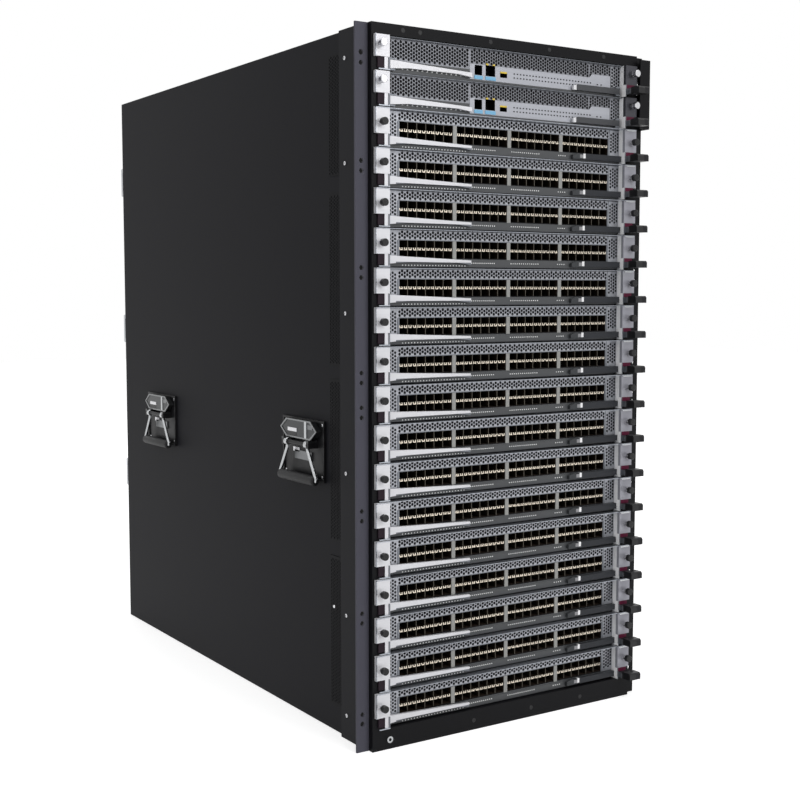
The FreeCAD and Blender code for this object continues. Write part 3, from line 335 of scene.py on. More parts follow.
FINISHES = {
    "front_frame": frame_paint,
    "tag_plate": frame_paint,
    "left_rack_flange": flange_coat(),
    "right_rack_flange": frame_paint,
    "left_card_guides": bare_steel,
    "right_card_guides": bare_steel,
    "power_cage": bare_steel,
    "rear_frame": bare_steel,
    "midplane": board_green,
    "handle_mounts": mount_coat(),
    "grounding_jack": chrome,
}


def finish_of(name):
    """The finish of a CAD node, from its name."""
    if name in FINISHES:
        return FINISHES[name]
    if name.startswith("line_card"):
        return line_metal
    if name in CONTROL_CARDS:
        return control_metal
    if name.endswith("left_lever"):
        return left_lever
    if name.endswith("right_lever"):
        return right_lever
    if name.endswith("rotor"):
        return rotor_plastic
    if name.startswith("power_module") or name.endswith("fan_tray"):
        return bare_steel
    return shell_paint


for name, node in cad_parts.items():
    node.data.materials.clear()
    node.data.materials.append(finish_of(name))


# ---------------------------------------------------------------- trees for what repeats

HOLE_SIDES = 7
WELD = 0.00002  # metres


class Tree:
    """A Geometry Nodes tree with named inputs, ending in realised pieces with one finish."""

    KINDS = {
        "f": "NodeSocketFloat",
        "i": "NodeSocketInt",
        "v": "NodeSocketVector",
        "o": "NodeSocketObject",
        "m": "NodeSocketMaterial",
    }

    def __init__(self, name, **inputs):
        self.tree = bpy.data.node_groups.new(name, "GeometryNodeTree")
        for label, kind in inputs.items():
            words = label.replace("_", " ").title()
            self.tree.interface.new_socket(words, in_out="INPUT", socket_type=self.KINDS[kind])
        self.tree.interface.new_socket("Geometry", in_out="OUTPUT", socket_type="NodeSocketGeometry")
        self.source = self.tree.nodes.new("NodeGroupInput").outputs
        self.sink = self.tree.nodes.new("NodeGroupOutput").inputs[0]

    def node(self, kind, links=(), **settings):
        """The outputs of a new node, its inputs linked or set."""
        made = self.tree.nodes.new(kind)
        for key, value in settings.items():
            setattr(made, key, value)
        for socket, value in links:
            target = made.inputs[socket]
            if isinstance(value, bpy.types.NodeSocket):
                self.tree.links.new(value, target)
            else:
                target.default_value = value
        return made.outputs

    def maths(self, operation, a, b):
        return self.node("ShaderNodeMath", ((0, a), (1, b)), operation=operation)[0]

    def vector(self, axis, length):
        """A vector of this length along one axis."""
        return self.node("ShaderNodeCombineXYZ", ((axis, length),))[0]

    def instances(self, points, instance, *more):
        links = (("Points", points), ("Instance", instance)) + more
        return self.node("GeometryNodeInstanceOnPoints", links)[0]

    def realised(self, geometry):
        return self.node("GeometryNodeRealizeInstances", ((0, geometry),))[0]

    def joined(self, *pieces):
        made = self.tree.nodes.new("GeometryNodeJoinGeometry")
        for piece in pieces:
            self.tree.links.new(piece, made.inputs[0])
        return made.outputs[0]

    def end(self, geometry):
        real = self.realised(geometry)
        links = (("Geometry", real), ("Material", self.source["Finish"]))
        self.tree.links.new(self.node("GeometryNodeSetMaterial", links)[0], self.sink)
        return self.tree


def hole_centres(t):
    """A grid of points, every second column raised by half a row."""
    s = t.source
    across = t.maths("MULTIPLY", t.maths("SUBTRACT", s["Columns"], 1), s["Column Step"])
    along = t.maths("MULTIPLY", t.maths("SUBTRACT", s["Rows"], 1), s["Row Step"])
    counts = (("Vertices X", s["Columns"]), ("Vertices Y", s["Rows"]))
    grid = t.node("GeometryNodeMeshGrid", (("Size X", across), ("Size Y", along)) + counts)
    spot = t.node("GeometryNodeInputPosition")[0]
    x = t.node("ShaderNodeSeparateXYZ", ((0, spot),))[0]
    from_edge = t.maths("ADD", x, t.maths("MULTIPLY", across, 0.5))
    column = t.maths("ROUND", t.maths("DIVIDE", from_edge, s["Column Step"]), 0)
    odd = t.maths("SUBTRACT", t.maths("FLOORED_MODULO", column, 2.0), 0.5)
    half_row = t.maths("MULTIPLY", s["Row Step"], 0.5)
    shift = t.maths("ADD", t.maths("MULTIPLY", odd, half_row), s["Hole Rise"])
    links = (("Geometry", grid["Mesh"]), ("Offset", t.vector(1, shift)))
    return t.node("GeometryNodeSetPosition", links)[0]


def perforated_sheet():
    """A sheet in the XZ plane, its front towards -Y, with rounded holes in offset columns."""
    t = Tree(
        "perforated_sheet", width="f", height="f", thickness="f", columns="i", rows="i",
        column_step="f", row_step="f", hole_radius="f", hole_rise="f", place="v", finish="m",
    )
    s = t.source
    circle = (("Resolution", HOLE_SIDES), ("Radius", s["Hole Radius"]))
    ring = t.node("GeometryNodeCurvePrimitiveCircle", circle)[0]
    holes = t.realised(t.instances(hole_centres(t), ring))
    edges = (("Width", s["Width"]), ("Height", s["Height"]))
    edge = t.node("GeometryNodeCurvePrimitiveQuadrilateral", edges)[0]
    filled = t.node("GeometryNodeFillCurve", ((0, t.joined(holes, edge)),))[0]
    push = (("Mesh", filled), ("Offset Scale", s["Thickness"]), ("Individual", False))
    raised = t.node("GeometryNodeExtrudeMesh", push)[0]
    back = t.node("GeometryNodeFlipFaces", ((0, filled),))[0]
    shell = (("Geometry", t.joined(raised, back)), ("Distance", WELD))
    closed = t.node("GeometryNodeMergeByDistance", shell)[0]
    upright = (("Geometry", closed), ("Rotation", (math.pi / 2, 0, 0)), ("Translation", s["Place"]))
    return t.end(t.node("GeometryNodeTransform", upright)[0])


def rank():
    """Copies of one piece in columns along X and rows along Z, with a little random tilt."""
    t = Tree(
        "rank_of_pieces", piece="o", columns="i", rows="i", column_step="f", row_step="f",
        place="v", tilt="f", seed="i", finish="m",
    )
    s = t.source
    across = t.vector(0, s["Column Step"])
    upward = t.vector(2, s["Row Step"])
    along = (("Count", s["Columns"]), ("Start Location", s["Place"]), ("Offset", across))
    line = t.node("GeometryNodeMeshLine", along, mode="OFFSET")[0]
    levels = (("Count", s["Rows"]), ("Offset", upward))
    stack = t.node("GeometryNodeMeshLine", levels, mode="OFFSET")[0]
    many = t.realised(t.instances(stack, line))
    piece = t.node("GeometryNodeObjectInfo", (("Object", s["Piece"]),))["Geometry"]
    least = t.vector(1, t.maths("MULTIPLY", s["Tilt"], -1.0))
    span = ((0, least), (1, t.vector(1, s["Tilt"])), ("Seed", s["Seed"]))
    tilt = t.node("FunctionNodeRandomValue", span, data_type="FLOAT_VECTOR")[0]
    return t.end(t.instances(many, piece, ("Rotation", tilt)))


SHEET = perforated_sheet()
RANK = rank()


def grown(tree, **values):
    """The mesh that a tree makes from these inputs."""
    holder = bpy.data.objects.new("holder", bpy.data.meshes.new("holder"))
    bpy.context.scene.collection.objects.link(holder)
    modifier = holder.modifiers.new("tree", "NODES")
    modifier.node_group = tree
    for item in tree.interface.items_tree:
        if item.item_type == "SOCKET" and item.in_out == "INPUT":
            key = item.name.lower().replace(" ", "_")
            if key in values:
                modifier[item.identifier] = values[key]
    graph = bpy.context.evaluated_depsgraph_get()
    made = bpy.data.meshes.new_from_object(holder.evaluated_get(graph))
    made.materials.clear()
    made.materials.append(values["finish"])
    bpy.data.objects.remove(holder)
    return made


def sheet(x0, x1, z0, z1, front, thick, columns, rows, step, pitch, radius, rise, finish):
    """A perforated sheet between these edges, in millimetres, its back at front + thick."""
    place = ((x0 + x1) / 2 * MM, (front + thick) * MM, (z0 + z1) / 2 * MM)
    return grown(
        SHEET, width=(x1 - x0) * MM, height=(z1 - z0) * MM, thickness=thick * MM,
        columns=columns, rows=rows, column_step=step * MM, row_step=pitch * MM,
        hole_radius=radius * MM, hole_rise=rise * MM, place=place, finish=finish,
    )


def ranked(piece, columns, rows, step, rise, place, finish, tilt=0.0, seed=1):
    """Copies of a piece, the first at this place, in millimetres; the tilt is in radians."""
    spot = tuple(value * MM for value in place)
    return grown(
        RANK, piece=piece, columns=columns, rows=rows, column_step=step * MM,
        row_step=rise * MM, place=spot, tilt=tilt, seed=seed, finish=finish,
    )


# ---------------------------------------------------------------- plain shapes

def raw(vertices, faces, finish=None):
    """A mesh from corners in millimetres."""
    made = bpy.data.meshes.new("shape")
    made.from_pydata([tuple(c * MM for c in v) for v in vertices], [], faces)
    if finish:
        made.materials.append(finish)
    return made


def block(x0, x1, y0, y1, z0, z1, finish=None):
    corners = [(x, y, z) for x in (x0, x1) for y in (y0, y1) for z in (z0, z1)]
    faces = [(0, 1, 3, 2), (4, 6, 7, 5), (0, 4, 5, 1), (2, 3, 7, 6), (0, 2, 6, 4), (1, 5, 7, 3)]
    return raw(corners, faces, finish)


def ring_of(centre, first, second, radius, sides):
    """A ring of corners round a centre, in the plane of two directions."""
    angles = [2 * math.pi * k / sides for k in range(sides)]
    return [tuple(centre + (first * math.cos(a) + second * math.sin(a)) * radius) for a in angles]


def skinned(rings, finish):
    """A closed skin over rings of corners that each have the same number of sides."""
    sides = len(rings[0])
    faces = []
    for ring in range(len(rings) - 1):
        for k in range(sides):
            a, b = ring * sides + k, ring * sides + (k + 1) % sides
            faces.append((a, b, b + sides, a + sides))
    faces.append(tuple(reversed(range(sides))))
    last = (len(rings) - 1) * sides
    faces.append(tuple(last + k for k in range(sides)))
    return raw([corner for ring in rings for corner in ring], faces, finish)


def turned(rings, sides, centre, axis, finish):
    """A turned shape from (distance, radius) rings along an axis, closed at its ends."""
    way = Vector(axis).normalized()
    across = way.orthogonal().normalized()
    other = way.cross(across)
    return skinned(
        [ring_of(Vector(centre) + way * far, across, other, radius, sides) for far, radius in rings],
        finish,
    )


def tube(points, radius, sides, finish):
    """A round rod in a YZ plane that bends at each point."""
    spots = [Vector(p) for p in points]
    sideways_on = Vector((1, 0, 0))
    rings = []
    for k, spot in enumerate(spots):
        before = spots[max(k - 1, 0)]
        after = spots[min(k + 1, len(spots) - 1)]
        side = (after - before).normalized().cross(sideways_on).normalized()
        rings.append(ring_of(spot, side, sideways_on, radius, sides))
    return skinned(rings, finish)


def shape_object(name, mesh):
    made = bpy.data.objects.new(name, mesh)
    bpy.context.scene.collection.objects.link(made)
    return made


def gather(meshes):
    """Several meshes as one, each keeping its finish."""
    vertices, faces, slots, finishes = [], [], [], []
    for mesh in meshes:
        start = len(vertices)
        vertices += [tuple(v.co) for v in mesh.vertices]
        finish = mesh.materials[0] if mesh.materials else None
        if finish not in finishes:
            finishes.append(finish)
        for polygon in mesh.polygons:
            faces.append(tuple(start + k for k in polygon.vertices))
            slots.append(finishes.index(finish))
    return vertices, faces, slots, finishes


def dress(name, body, parts, shift=(0, 0, 0)):
    """One finished piece that rides on a body, from gathered parts moved by shift, in millimetres."""
    vertices, faces, slots, finishes = parts
    made = bpy.data.meshes.new(name)
    move = [c * MM for c in shift]
    made.from_pydata([(v[0] + move[0], v[1] + move[1], v[2] + move[2]) for v in vertices], [], faces)
    for finish in finishes:
        made.materials.append(finish)
    made.polygons.foreach_set("material_index", slots)
    made.polygons.foreach_set("use_smooth", [True] * len(faces))
    made.set_sharp_from_angle(angle=math.radians(35))
    made.validate()
    made.update()
    piece = shape_object(name, made)
    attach(piece, body)
    return piece


# ---------------------------------------------------------------- small fittings

HEAD_TURN = 0.4  # radians, how far a screw's ridges are turned
EAR_FACE = -4.3  # front of a card's ears, from the front frame's face


def screw_head(centre, axis, radius, rise, finish):
    """A pan head with two crossed ridges in place of its recess, black as painted shade of the recess."""
    head = turned([(0, radius), (rise * 0.6, radius), (rise, radius * 0.7)], 14, centre, axis, finish)
    way = Vector(axis).normalized()
    across = way.orthogonal().normalized()
    marks = [head]
    for turn in (0, math.pi / 2):
        line = Matrix.Rotation(turn + HEAD_TURN, 3, way) @ across
        other = way.cross(line)
        base = Vector(centre) + way * (rise * 0.9)
        tall = rise * 0.14
        corners = []
        for along, wide in ((-1, -1), (1, -1), (1, 1), (-1, 1)):
            corners.append(base + line * along * radius * 0.55 + other * wide * radius * 0.13)
        ring = [tuple(c) for c in corners] + [tuple(c + way * tall) for c in corners]
        faces = [(3, 2, 1, 0), (4, 5, 6, 7), (0, 1, 5, 4), (1, 2, 6, 5), (2, 3, 7, 6), (3, 0, 4, 7)]
        # painted shade: the ridges are black where the recess in the steel head would be dark
        marks.append(raw(ring, faces, black_plastic))
    return marks


def thumbscrew(x, z, head, collar):
    """A captive thumbscrew that stands off an ear."""
    centre, out = (x, EAR_FACE, z), (0, -1, 0)
    tip = collar if head is steel_screw else black_plastic
    return [
        turned([(0, 3.4), (1.2, 3.4), (1.4, 2.4), (4.4, 2.4)], 14, centre, out, collar),
        turned([(4.2, 4.3), (4.6, 4.9), (10.2, 4.9), (10.8, 4.2)], 16, centre, out, head),
        turned([(10.7, 1.5), (11.0, 1.3)], 10, centre, out, tip),
    ]


def grip_pad():
    """The moulded pad round the right lever's end, with a sloping upper corner."""
    front, back, foot, top = -28.45, -11.0, 3.2, 13.0
    side = [(front, foot), (front, 10.6), (-26.5, top), (-14.0, top), (back, 11.7), (back, foot)]
    vertices = [(x, y, z) for x in (201.0, 221.6) for y, z in side]
    count = len(side)
    faces = [tuple(range(count)), tuple(reversed(range(count, 2 * count)))]
    for k in range(count):
        after = (k + 1) % count
        faces.append((after, k, k + count, after + count))
    return raw(vertices, faces, black_plastic)


# ---------------------------------------------------------------- cards

# In a card's own frame: x from its middle, y from the front frame's face, z from its slot's floor.
FACE_Y = 8.05  # front of the dressed faceplate
PLATE = 0.8  # its thickness
PLATE_END = 198.2  # from the middle to just inside a side return
EAR_END = 220.0
EAR_FRONT = EAR_FACE - 0.9
EAR_FOOT = 17.0
HOLE_STEP, HOLE_RISE = 4.0, 4.6

FIELD_END = 178.5  # from the middle to the end of the rows of sockets
FIELD_FLOOR, FIELD_TOP, BAR_TOP = 12.0, 35.2, 36.4
STRIP_TOP = 10.2
LINE_TOP = 47.9
LINE_EDGE = 49.3
GROUPS = 4
GROUP_STEP = 90.0
GROUP_WIDE = 84.0
BAR_HALF = 3.0  # half the width of a bar between two groups
SOCKET_STEP = 14.0
SOCKET_RISE = 12.2
SOCKET_FLOOR, SOCKET_TALL, SOCKET_DEEP = 13.2, 9.8, 36

CONTROL_TOP = 43.0
CONTROL_EDGE = 43.6


def face_sheet(x0, x1, z0, z1, columns, rows, step, pitch, radius, rise, finish):
    """A perforated sheet in the plane of a card's faceplate."""
    return sheet(x0, x1, z0, z1, FACE_Y, PLATE, columns, rows, step, pitch, radius, rise, finish)


def face_strip(x0, x1, z0, z1, finish, proud=0.0):
    """A plain strip in the plane of a card's faceplate, or proud of it."""
    return block(x0, x1, FACE_Y - proud, FACE_Y + PLATE, z0, z1, finish)


def left_ear(edge):
    """The bright outer edge of a card's left ear, a silver plate below it and a strip under that."""
    return [
        block(-EAR_END, -218.9, EAR_FRONT, EAR_FACE, EAR_FOOT, edge, bright_nickel),
        block(-205.6, -200.2, -3.2, -2.4, 1.5, EAR_FOOT, ear_silver),
        block(-215.0, -198.6, -5.0, -3.2, 0.8, 2.2, bright_nickel),
    ]


def line_face():
    """A line card's perforated fields, plain strips and bright edges."""
    return [
        face_sheet(
            -FIELD_END, FIELD_END, BAR_TOP, LINE_TOP, 89, 2, HOLE_STEP, HOLE_RISE, 2.1, 0.0, web_nickel
        ),
        face_sheet(-194.5, -FIELD_END, FIELD_FLOOR, LINE_TOP, 3, 6, 3.8, HOLE_RISE, 1.85, 0.6, web_nickel),
        face_sheet(180.5, PLATE_END, FIELD_FLOOR, LINE_TOP, 4, 6, 4.2, HOLE_RISE, 1.95, 0.6, web_nickel),
        face_strip(-PLATE_END, -194.5, STRIP_TOP, LINE_TOP, nickel_sheet),
        face_strip(FIELD_END, 180.5, FIELD_FLOOR, LINE_TOP, nickel_sheet),
        face_strip(-FIELD_END, FIELD_END, FIELD_TOP, BAR_TOP, nickel_sheet),
        face_strip(-PLATE_END, PLATE_END, STRIP_TOP, FIELD_FLOOR, strip_grey),
        face_strip(-PLATE_END, PLATE_END, 1.4, STRIP_TOP, strip_grey, 0.8),
        block(-PLATE_END, PLATE_END, -3.6, FACE_Y + PLATE, 48.6, LINE_EDGE, bright_nickel),
        block(-EAR_END, -198.6, EAR_FRONT, EAR_FACE, 48.3, LINE_EDGE, bright_nickel),
        block(198.6, 219.0, EAR_FRONT, EAR_FACE, 48.3, LINE_EDGE, bright_nickel),
    ] + left_ear(LINE_EDGE)


def group_bars():
    """The bars between the groups of sockets, and a narrower one at each end."""
    bars = []
    for k in range(GROUPS + 1):
        centre, half, finish = (k - GROUPS / 2) * GROUP_STEP, BAR_HALF, separator_grey
        if k in (0, GROUPS):
            centre, half, finish = math.copysign(178.0, centre), 1.4, nickel_sheet
        bars.append(face_strip(centre - half, centre + half, FIELD_FLOOR, FIELD_TOP, finish, 0.6))
    return bars


def socket_rows():
    """The walls between the sockets and the spring fingers at their mouths, group by group."""
    wall = shape_object("divider_form", block(-0.35, 0.35, 0, SOCKET_DEEP, 0, SOCKET_TALL))
    edge = shape_object("divider_edge_form", block(-0.4, 0.4, -0.4, 0.1, 0, SOCKET_TALL))
    finger = shape_object("finger_form", block(-0.6, 0.6, -0.5, 0.8, -1.7, 1.7))
    heel = shape_object("finger_heel_form", block(-1.8, 1.0, -0.4, 0.8, -0.6, 0.6))
    finger_y, bridge = 8.6, 9.4
    parts = []
    for group in range(GROUPS):
        x0 = (group - GROUPS / 2) * GROUP_STEP + BAR_HALF
        first = x0 + SOCKET_STEP
        for form, y, finish in ((wall, 9.5, divider_dark), (edge, 9.4, divider_bronze)):
            place = (first, y, SOCKET_FLOOR)
            parts.append(ranked(form, 5, 2, SOCKET_STEP, SOCKET_RISE, place, finish))
        for form, count, step, x, z, tilt, seed in (
            (finger, 24, 3.5, 1.6, 24.2, 0.5, group + 3),
            (heel, 12, 7.0, 4.6, 23.2, 0.3, group + 9),
        ):
            place = (x0 + x, finger_y, z)
            parts.append(ranked(form, count, 1, step, 0, place, spring_gold, tilt=tilt, seed=seed))
        parts.append(block(x0, x0 + GROUP_WIDE, bridge, bridge + 1.0, 23.0, 25.4, divider_dark))
    for form in (wall, edge, finger, heel):
        bpy.data.objects.remove(form)
    return parts


# count, step, first x and height of each row of lamps under a line card's sockets
LAMP_ROWS = ((22, 4.7, -172, 3.2), (12, 3.4, -62, 7.0), (14, 3.6, 4, 7.0), (4, 3.8, 86, 7.0))


def line_lamps():
    dot = shape_object("lamp_form", block(-0.75, 0.75, -0.25, 0.2, -0.65, 0.65))
    lamps = [
        ranked(dot, count, 1, step, 0, (x, FACE_Y - 0.85, z), lamp_white)
        for count, step, x, z in LAMP_ROWS
    ]
    bpy.data.objects.remove(dot)
    return lamps


def line_card_parts():
    """All of a line card's fittings, gathered."""
    parts = line_face() + group_bars() + socket_rows() + line_lamps()
    for x in (-211.5, 212.0):
        parts += thumbscrew(x, 31.0, black_plastic, steel_screw)
    parts.append(grip_pad())
    parts.append(block(200.4, 217.0, -5.4, -4.4, 46.6, 48.2, chrome))
    return gather(parts)


# sides, floor, columns, rows, step, pitch, hole radius and finish of a control card's fields,
# cut back round the levers
CONTROL_SHEETS = (
    (-PLATE_END, -66.0, 15.8, 32, 5, 4.0, 4.6, 2.12, web_dim),
    (-66.0, 141.0, 23.6, 51, 4, 4.0, 4.3, 2.05, web_dim),
    (141.0, 181.0, 28.6, 9, 3, 4.3, 4.1, 2.0, web_dim),
    (181.0, PLATE_END, 12.4, 4, 6, 4.1, 4.6, 1.95, web_nickel),
)
BLUE_TABS = ((-58, -45.5), (-40, -24))
# sides, how proud, floor and top of each yellow lens
YELLOW_LENSES = (
    (-39.4, -35.6, 0.3, 23.6, 25.6),
    (-28.4, -24.6, 0.3, 23.6, 25.6),
    (-15.6, -4.4, 0.1, 15.4, 17.4),
)


def arrow_mesh():
    """A small three-cornered mark."""
    corners = ((-1.5, -1.2), (1.5, -1.2), (0.6, 1.3))
    vertices = [(x, y, z) for y in (-0.2, 0.2) for x, z in corners]
    return raw(vertices, [(0, 1, 2), (5, 4, 3), (0, 3, 4, 1), (1, 4, 5, 2), (2, 5, 3, 0)])


def control_marks():
    """A control card's row of marks and its two fields of unlit lamps."""
    dot = shape_object("lamp_form", block(-1.1, 1.1, -0.2, 0.2, -0.8, 0.8))
    arrow = shape_object("mark_form", arrow_mesh())
    marks = [
        ranked(arrow, 14, 1, 7.6, 0, (-172, FACE_Y - 0.2, 6.6), lamp_white),
        ranked(dot, 26, 2, 5.4, 5.2, (8, FACE_Y - 0.05, 11.0), lamp_dark),
        ranked(dot, 2, 1, 7.0, 0, (156, FACE_Y - 0.05, 15.0), lamp_dark),
    ]
    for form in (dot, arrow):
        bpy.data.objects.remove(form)
    return marks


def control_card_parts():
    """All of a control card's fittings, gathered."""
    parts = []
    for x0, x1, floor, columns, rows, step, pitch, radius, finish in CONTROL_SHEETS:
        field = face_sheet(x0, x1, floor, CONTROL_TOP, columns, rows, step, pitch, radius, 0.0, finish)
        parts.append(field)
    parts.append(face_strip(-182.0, -66.0, 3.4, 15.8, strip_grey, 0.2))
    parts.append(face_strip(-PLATE_END, PLATE_END, 0.7, 3.4, strip_grey, 0.4))
    parts += left_ear(CONTROL_EDGE)
    parts.append(block(-PLATE_END, PLATE_END, 2.0, FACE_Y + PLATE, CONTROL_TOP, 43.7, nickel_sheet))
    parts.append(grip_pad())
    parts += control_marks()
    for x0, x1 in BLUE_TABS:
        parts.append(block(x0 - 0.6, x1 + 0.6, FACE_Y - 0.6, FACE_Y + 0.2, 4.2, 8.8, blue_tab))
    for x0, x1, proud, z0, z1 in YELLOW_LENSES:
        parts.append(block(x0, x1, FACE_Y - proud, FACE_Y + 3, z0, z1, yellow_tab))
    for x in (-213.0, 212.0):
        parts += thumbscrew(x, 32.5, steel_screw, steel_screw)
    return gather(parts)


line_parts = line_card_parts()
top_line_floor = BOTTOM_RAIL + LINE_PITCH * (len(LINE_CARDS) - 1)
for number, name in enumerate(LINE_CARDS):
    floor = top_line_floor - LINE_PITCH * number
    dress(name + "_fittings", name, line_parts, (0, FRONT, floor))

control_parts = control_card_parts()
for number, name in enumerate(CONTROL_CARDS):
    floor = CONTROL_FLOOR + CONTROL_PITCH * number
    dress(name + "_fittings", name, control_parts, (0, FRONT, floor))


# ---------------------------------------------------------------- flanks and rails

VENTS = ((36, 242), (262, 481), (498, 727), (749, 905))  # floor and top of each
VENT_Y = FRONT + 93.5
VENT_HALF = 17.5
STUD_Y, STUD_Z = FRONT + 101.5, 172
FLANGE_SCREWS = (895, 762, 569, 359, 169, 33)
TOP_PLUGS, TOP_PLUG_Z = (-176, -150, -38, 62, 160), 925
BOTTOM_PLUGS, BOTTOM_PLUG_Z = (-60, 40, 130), 13


def sideways(mesh, sign):
    """Turns a mesh made in the XZ plane to face out of a flank, on the line of the vents."""
    place = Matrix.Translation((sign * FLANK * MM, VENT_Y * MM, 0))
    mesh.transform(place @ Matrix.Rotation(sign * math.pi / 2, 4, "Z"))
    return mesh


def flank_fittings(sign):
    """A flank's vents with a near-black lining behind each as painted shade seen through the holes, a small
    stud, and the flange's screws.
    """
    parts = []
    for low, high in VENTS:
        rows = int((high - low - 4) / HOLE_RISE)
        vent = sheet(
            -VENT_HALF, VENT_HALF, low, high, -0.9, 0.45, 8, rows,
            HOLE_STEP, HOLE_RISE, 1.75, 0.0, vent_paint,
        )
        parts.append(sideways(vent, sign))
        # the lining is painted shade: near black behind the vent's holes
        lining = block(-VENT_HALF, VENT_HALF, -0.45, -0.05, low, high, vent_black)
        parts.append(sideways(lining, sign))
    out = (sign, 0, 0)
    stud = (sign * 220.9, STUD_Y, STUD_Z)
    parts.append(turned([(0, 2.4), (0.8, 2.0), (1.2, 1.0)], 12, stud, out, steel_screw))
    for z in FLANGE_SCREWS:
        parts += screw_head((sign * 226.0, FRONT + 60, z), out, 2.6, 1.3, steel_screw)
    return parts


def rail_plugs():
    """Black plugs in the front frame's top and bottom rails."""
    return [
        turned([(0, 3.0), (0.3, 2.6)], 14, (x, FRONT, z), (0, -1, 0), black_plastic)
        for places, z in ((TOP_PLUGS, TOP_PLUG_Z), (BOTTOM_PLUGS, BOTTOM_PLUG_Z))
        for x in places
    ]


shell_parts = flank_fittings(-1) + flank_fittings(1) + rail_plugs()
dress("shell_fittings", "chassis", gather(shell_parts))


# ---------------------------------------------------------------- handles

PIVOT_X, PIVOT_Z = 232.0, 388.0
FRONT_HANDLE_Y, REAR_HANDLE_Y = FRONT + 182.0, FRONT + 687.0
PIVOT_OUT = 28.5  # from a handle's middle to a pivot
GRIP_DOWN = 48.0  # from the pivots down to the grip
# bends of a leg: out from the handle's middle, and down from the pivot
LEG_BENDS = ((PIVOT_OUT, 3), (29.5, 8), (52.0, 45), (51.5, GRIP_DOWN), (48, GRIP_DOWN))
BOSS = [(0, 5.0), (0.6, 5.6), (6.4, 5.6), (7.0, 5.0)]
GRIP = [(0, 4.5), (1.5, 6.6), (4, 7.0), (96, 7.0), (98.5, 6.6), (100, 4.5)]
RIM_MIDDLE = 407.4
# y and z edges, rise and finish of the plates on a housing; the first plate is a painted highlight, the
# black one under it painted shade in a recess
HOUSING_PLATES = (
    (4, 30, 403, 408, 0.8, steel_screw),
    (6, 34, 397, 402, 0.3, black_plastic),
    (-24, -18, 396, 419, 1.0, chrome),
    (-40, -27, 409, 415, 0.5, housing_steel),
)


def side_and_middle(name):
    """Which side a handle is on, -1 or 1, and its middle along Y."""
    side = -1 if name.startswith("left") else 1
    return side, FRONT_HANDLE_Y if "front" in name else REAR_HANDLE_Y


def bail(name):
    """A handle's bent rod, the bosses at its pivots and its rubber grip."""
    sign, y = side_and_middle(name)
    x = sign * PIVOT_X
    along = (0, 1, 0)
    legs = [(x, y - out, PIVOT_Z - down) for out, down in LEG_BENDS]
    legs += [(x, y + out, PIVOT_Z - down) for out, down in reversed(LEG_BENDS)]
    parts = [tube(legs, 2.5, 14, chrome)]
    for end in (-1, 1):
        parts.append(turned(BOSS, 20, (x, y + end * PIVOT_OUT - 3.5, PIVOT_Z), along, chrome))
    parts.append(turned(GRIP, 24, (x, y - 50, PIVOT_Z - GRIP_DOWN), along, rubber))
    return gather(parts)


def housing_rim(sign, y):
    """A raised hexagonal rim round a handle's housing."""
    half, shoulder, tall = 52, 34.7, 13.0
    outline = [
        (-half, RIM_MIDDLE), (-shoulder, RIM_MIDDLE - tall), (shoulder, RIM_MIDDLE - tall),
        (half, RIM_MIDDLE), (shoulder, RIM_MIDDLE + tall), (-shoulder, RIM_MIDDLE + tall),
    ]
    vertices = []
    for rise in (-0.5, 0.9):
        for squeeze, narrow in ((1.0, 1.0), (0.84, 0.93)):
            for dy, z in outline:
                place = (y + dy * narrow, RIM_MIDDLE + (z - RIM_MIDDLE) * squeeze)
                vertices.append((sign * (230.5 + rise),) + place)
    faces = []
    for k in range(6):
        after = (k + 1) % 6
        faces += [(12 + k, 12 + after, 18 + after, 18 + k), (k, 6 + k, 6 + after, after)]
        faces += [(k, after, 12 + after, 12 + k), (6 + k, 18 + k, 18 + after, 6 + after)]
    if sign < 0:
        faces = [tuple(reversed(face)) for face in faces]
    return raw(vertices, faces, rim_steel)


def mount_fittings(name):
    """The rim, plates and screws of the mount behind a handle."""
    sign, y = side_and_middle(name)
    parts = [housing_rim(sign, y)]
    for y0, y1, z0, z1, rise, finish in HOUSING_PLATES:
        inner, outer = sorted((sign * 229.5, sign * (230.5 + rise)))
        parts.append(block(inner, outer, y + y0, y + y1, z0, z1, finish))
    inner, outer = sorted((sign * 221.0, sign * 223.5))
    clip_floor, clip_top = PIVOT_Z - 24, PIVOT_Z - 12
    parts.append(block(inner, outer, y - 24, y + 24, clip_floor, clip_top, housing_steel))
    # a bright steel plate at the clip's rear end, a painted highlight
    parts.append(block(inner, outer, y + 10, y + 28, PIVOT_Z - 14, PIVOT_Z - 8, steel_screw))
    for dz in (28, -44):
        for dy in (-52, 52):
            head = (sign * 221.4, y + dy, PIVOT_Z + dz)
            parts += screw_head(head, (sign, 0, 0), 2.4, 1.2, steel_screw)
    return parts


for name in HANDLES:
    piece = dress(name + "_bail", name, bail(name))
    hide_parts(name)

mount_parts = [part for name in HANDLES for part in mount_fittings(name)]
dress("handle_mount_fittings", "chassis", gather(mount_parts))


# ---------------------------------------------------------------- rear

BAY_FLOOR, BAY_STEP, FAN_X = 132, 265, 100
GUARD_RINGS = (20, 34, 48, 62, 76, 90)
MODULES = 8
MODULES_ABREAST = 4
MODULE_FLOOR, MODULE_STEP, MODULE_RISE = 4, 104, 63
MODULE_HALF = 50.4
INLET_IN, PIN_IN = 12, 14  # module's side to its inlet, inlet's side to the middle pin


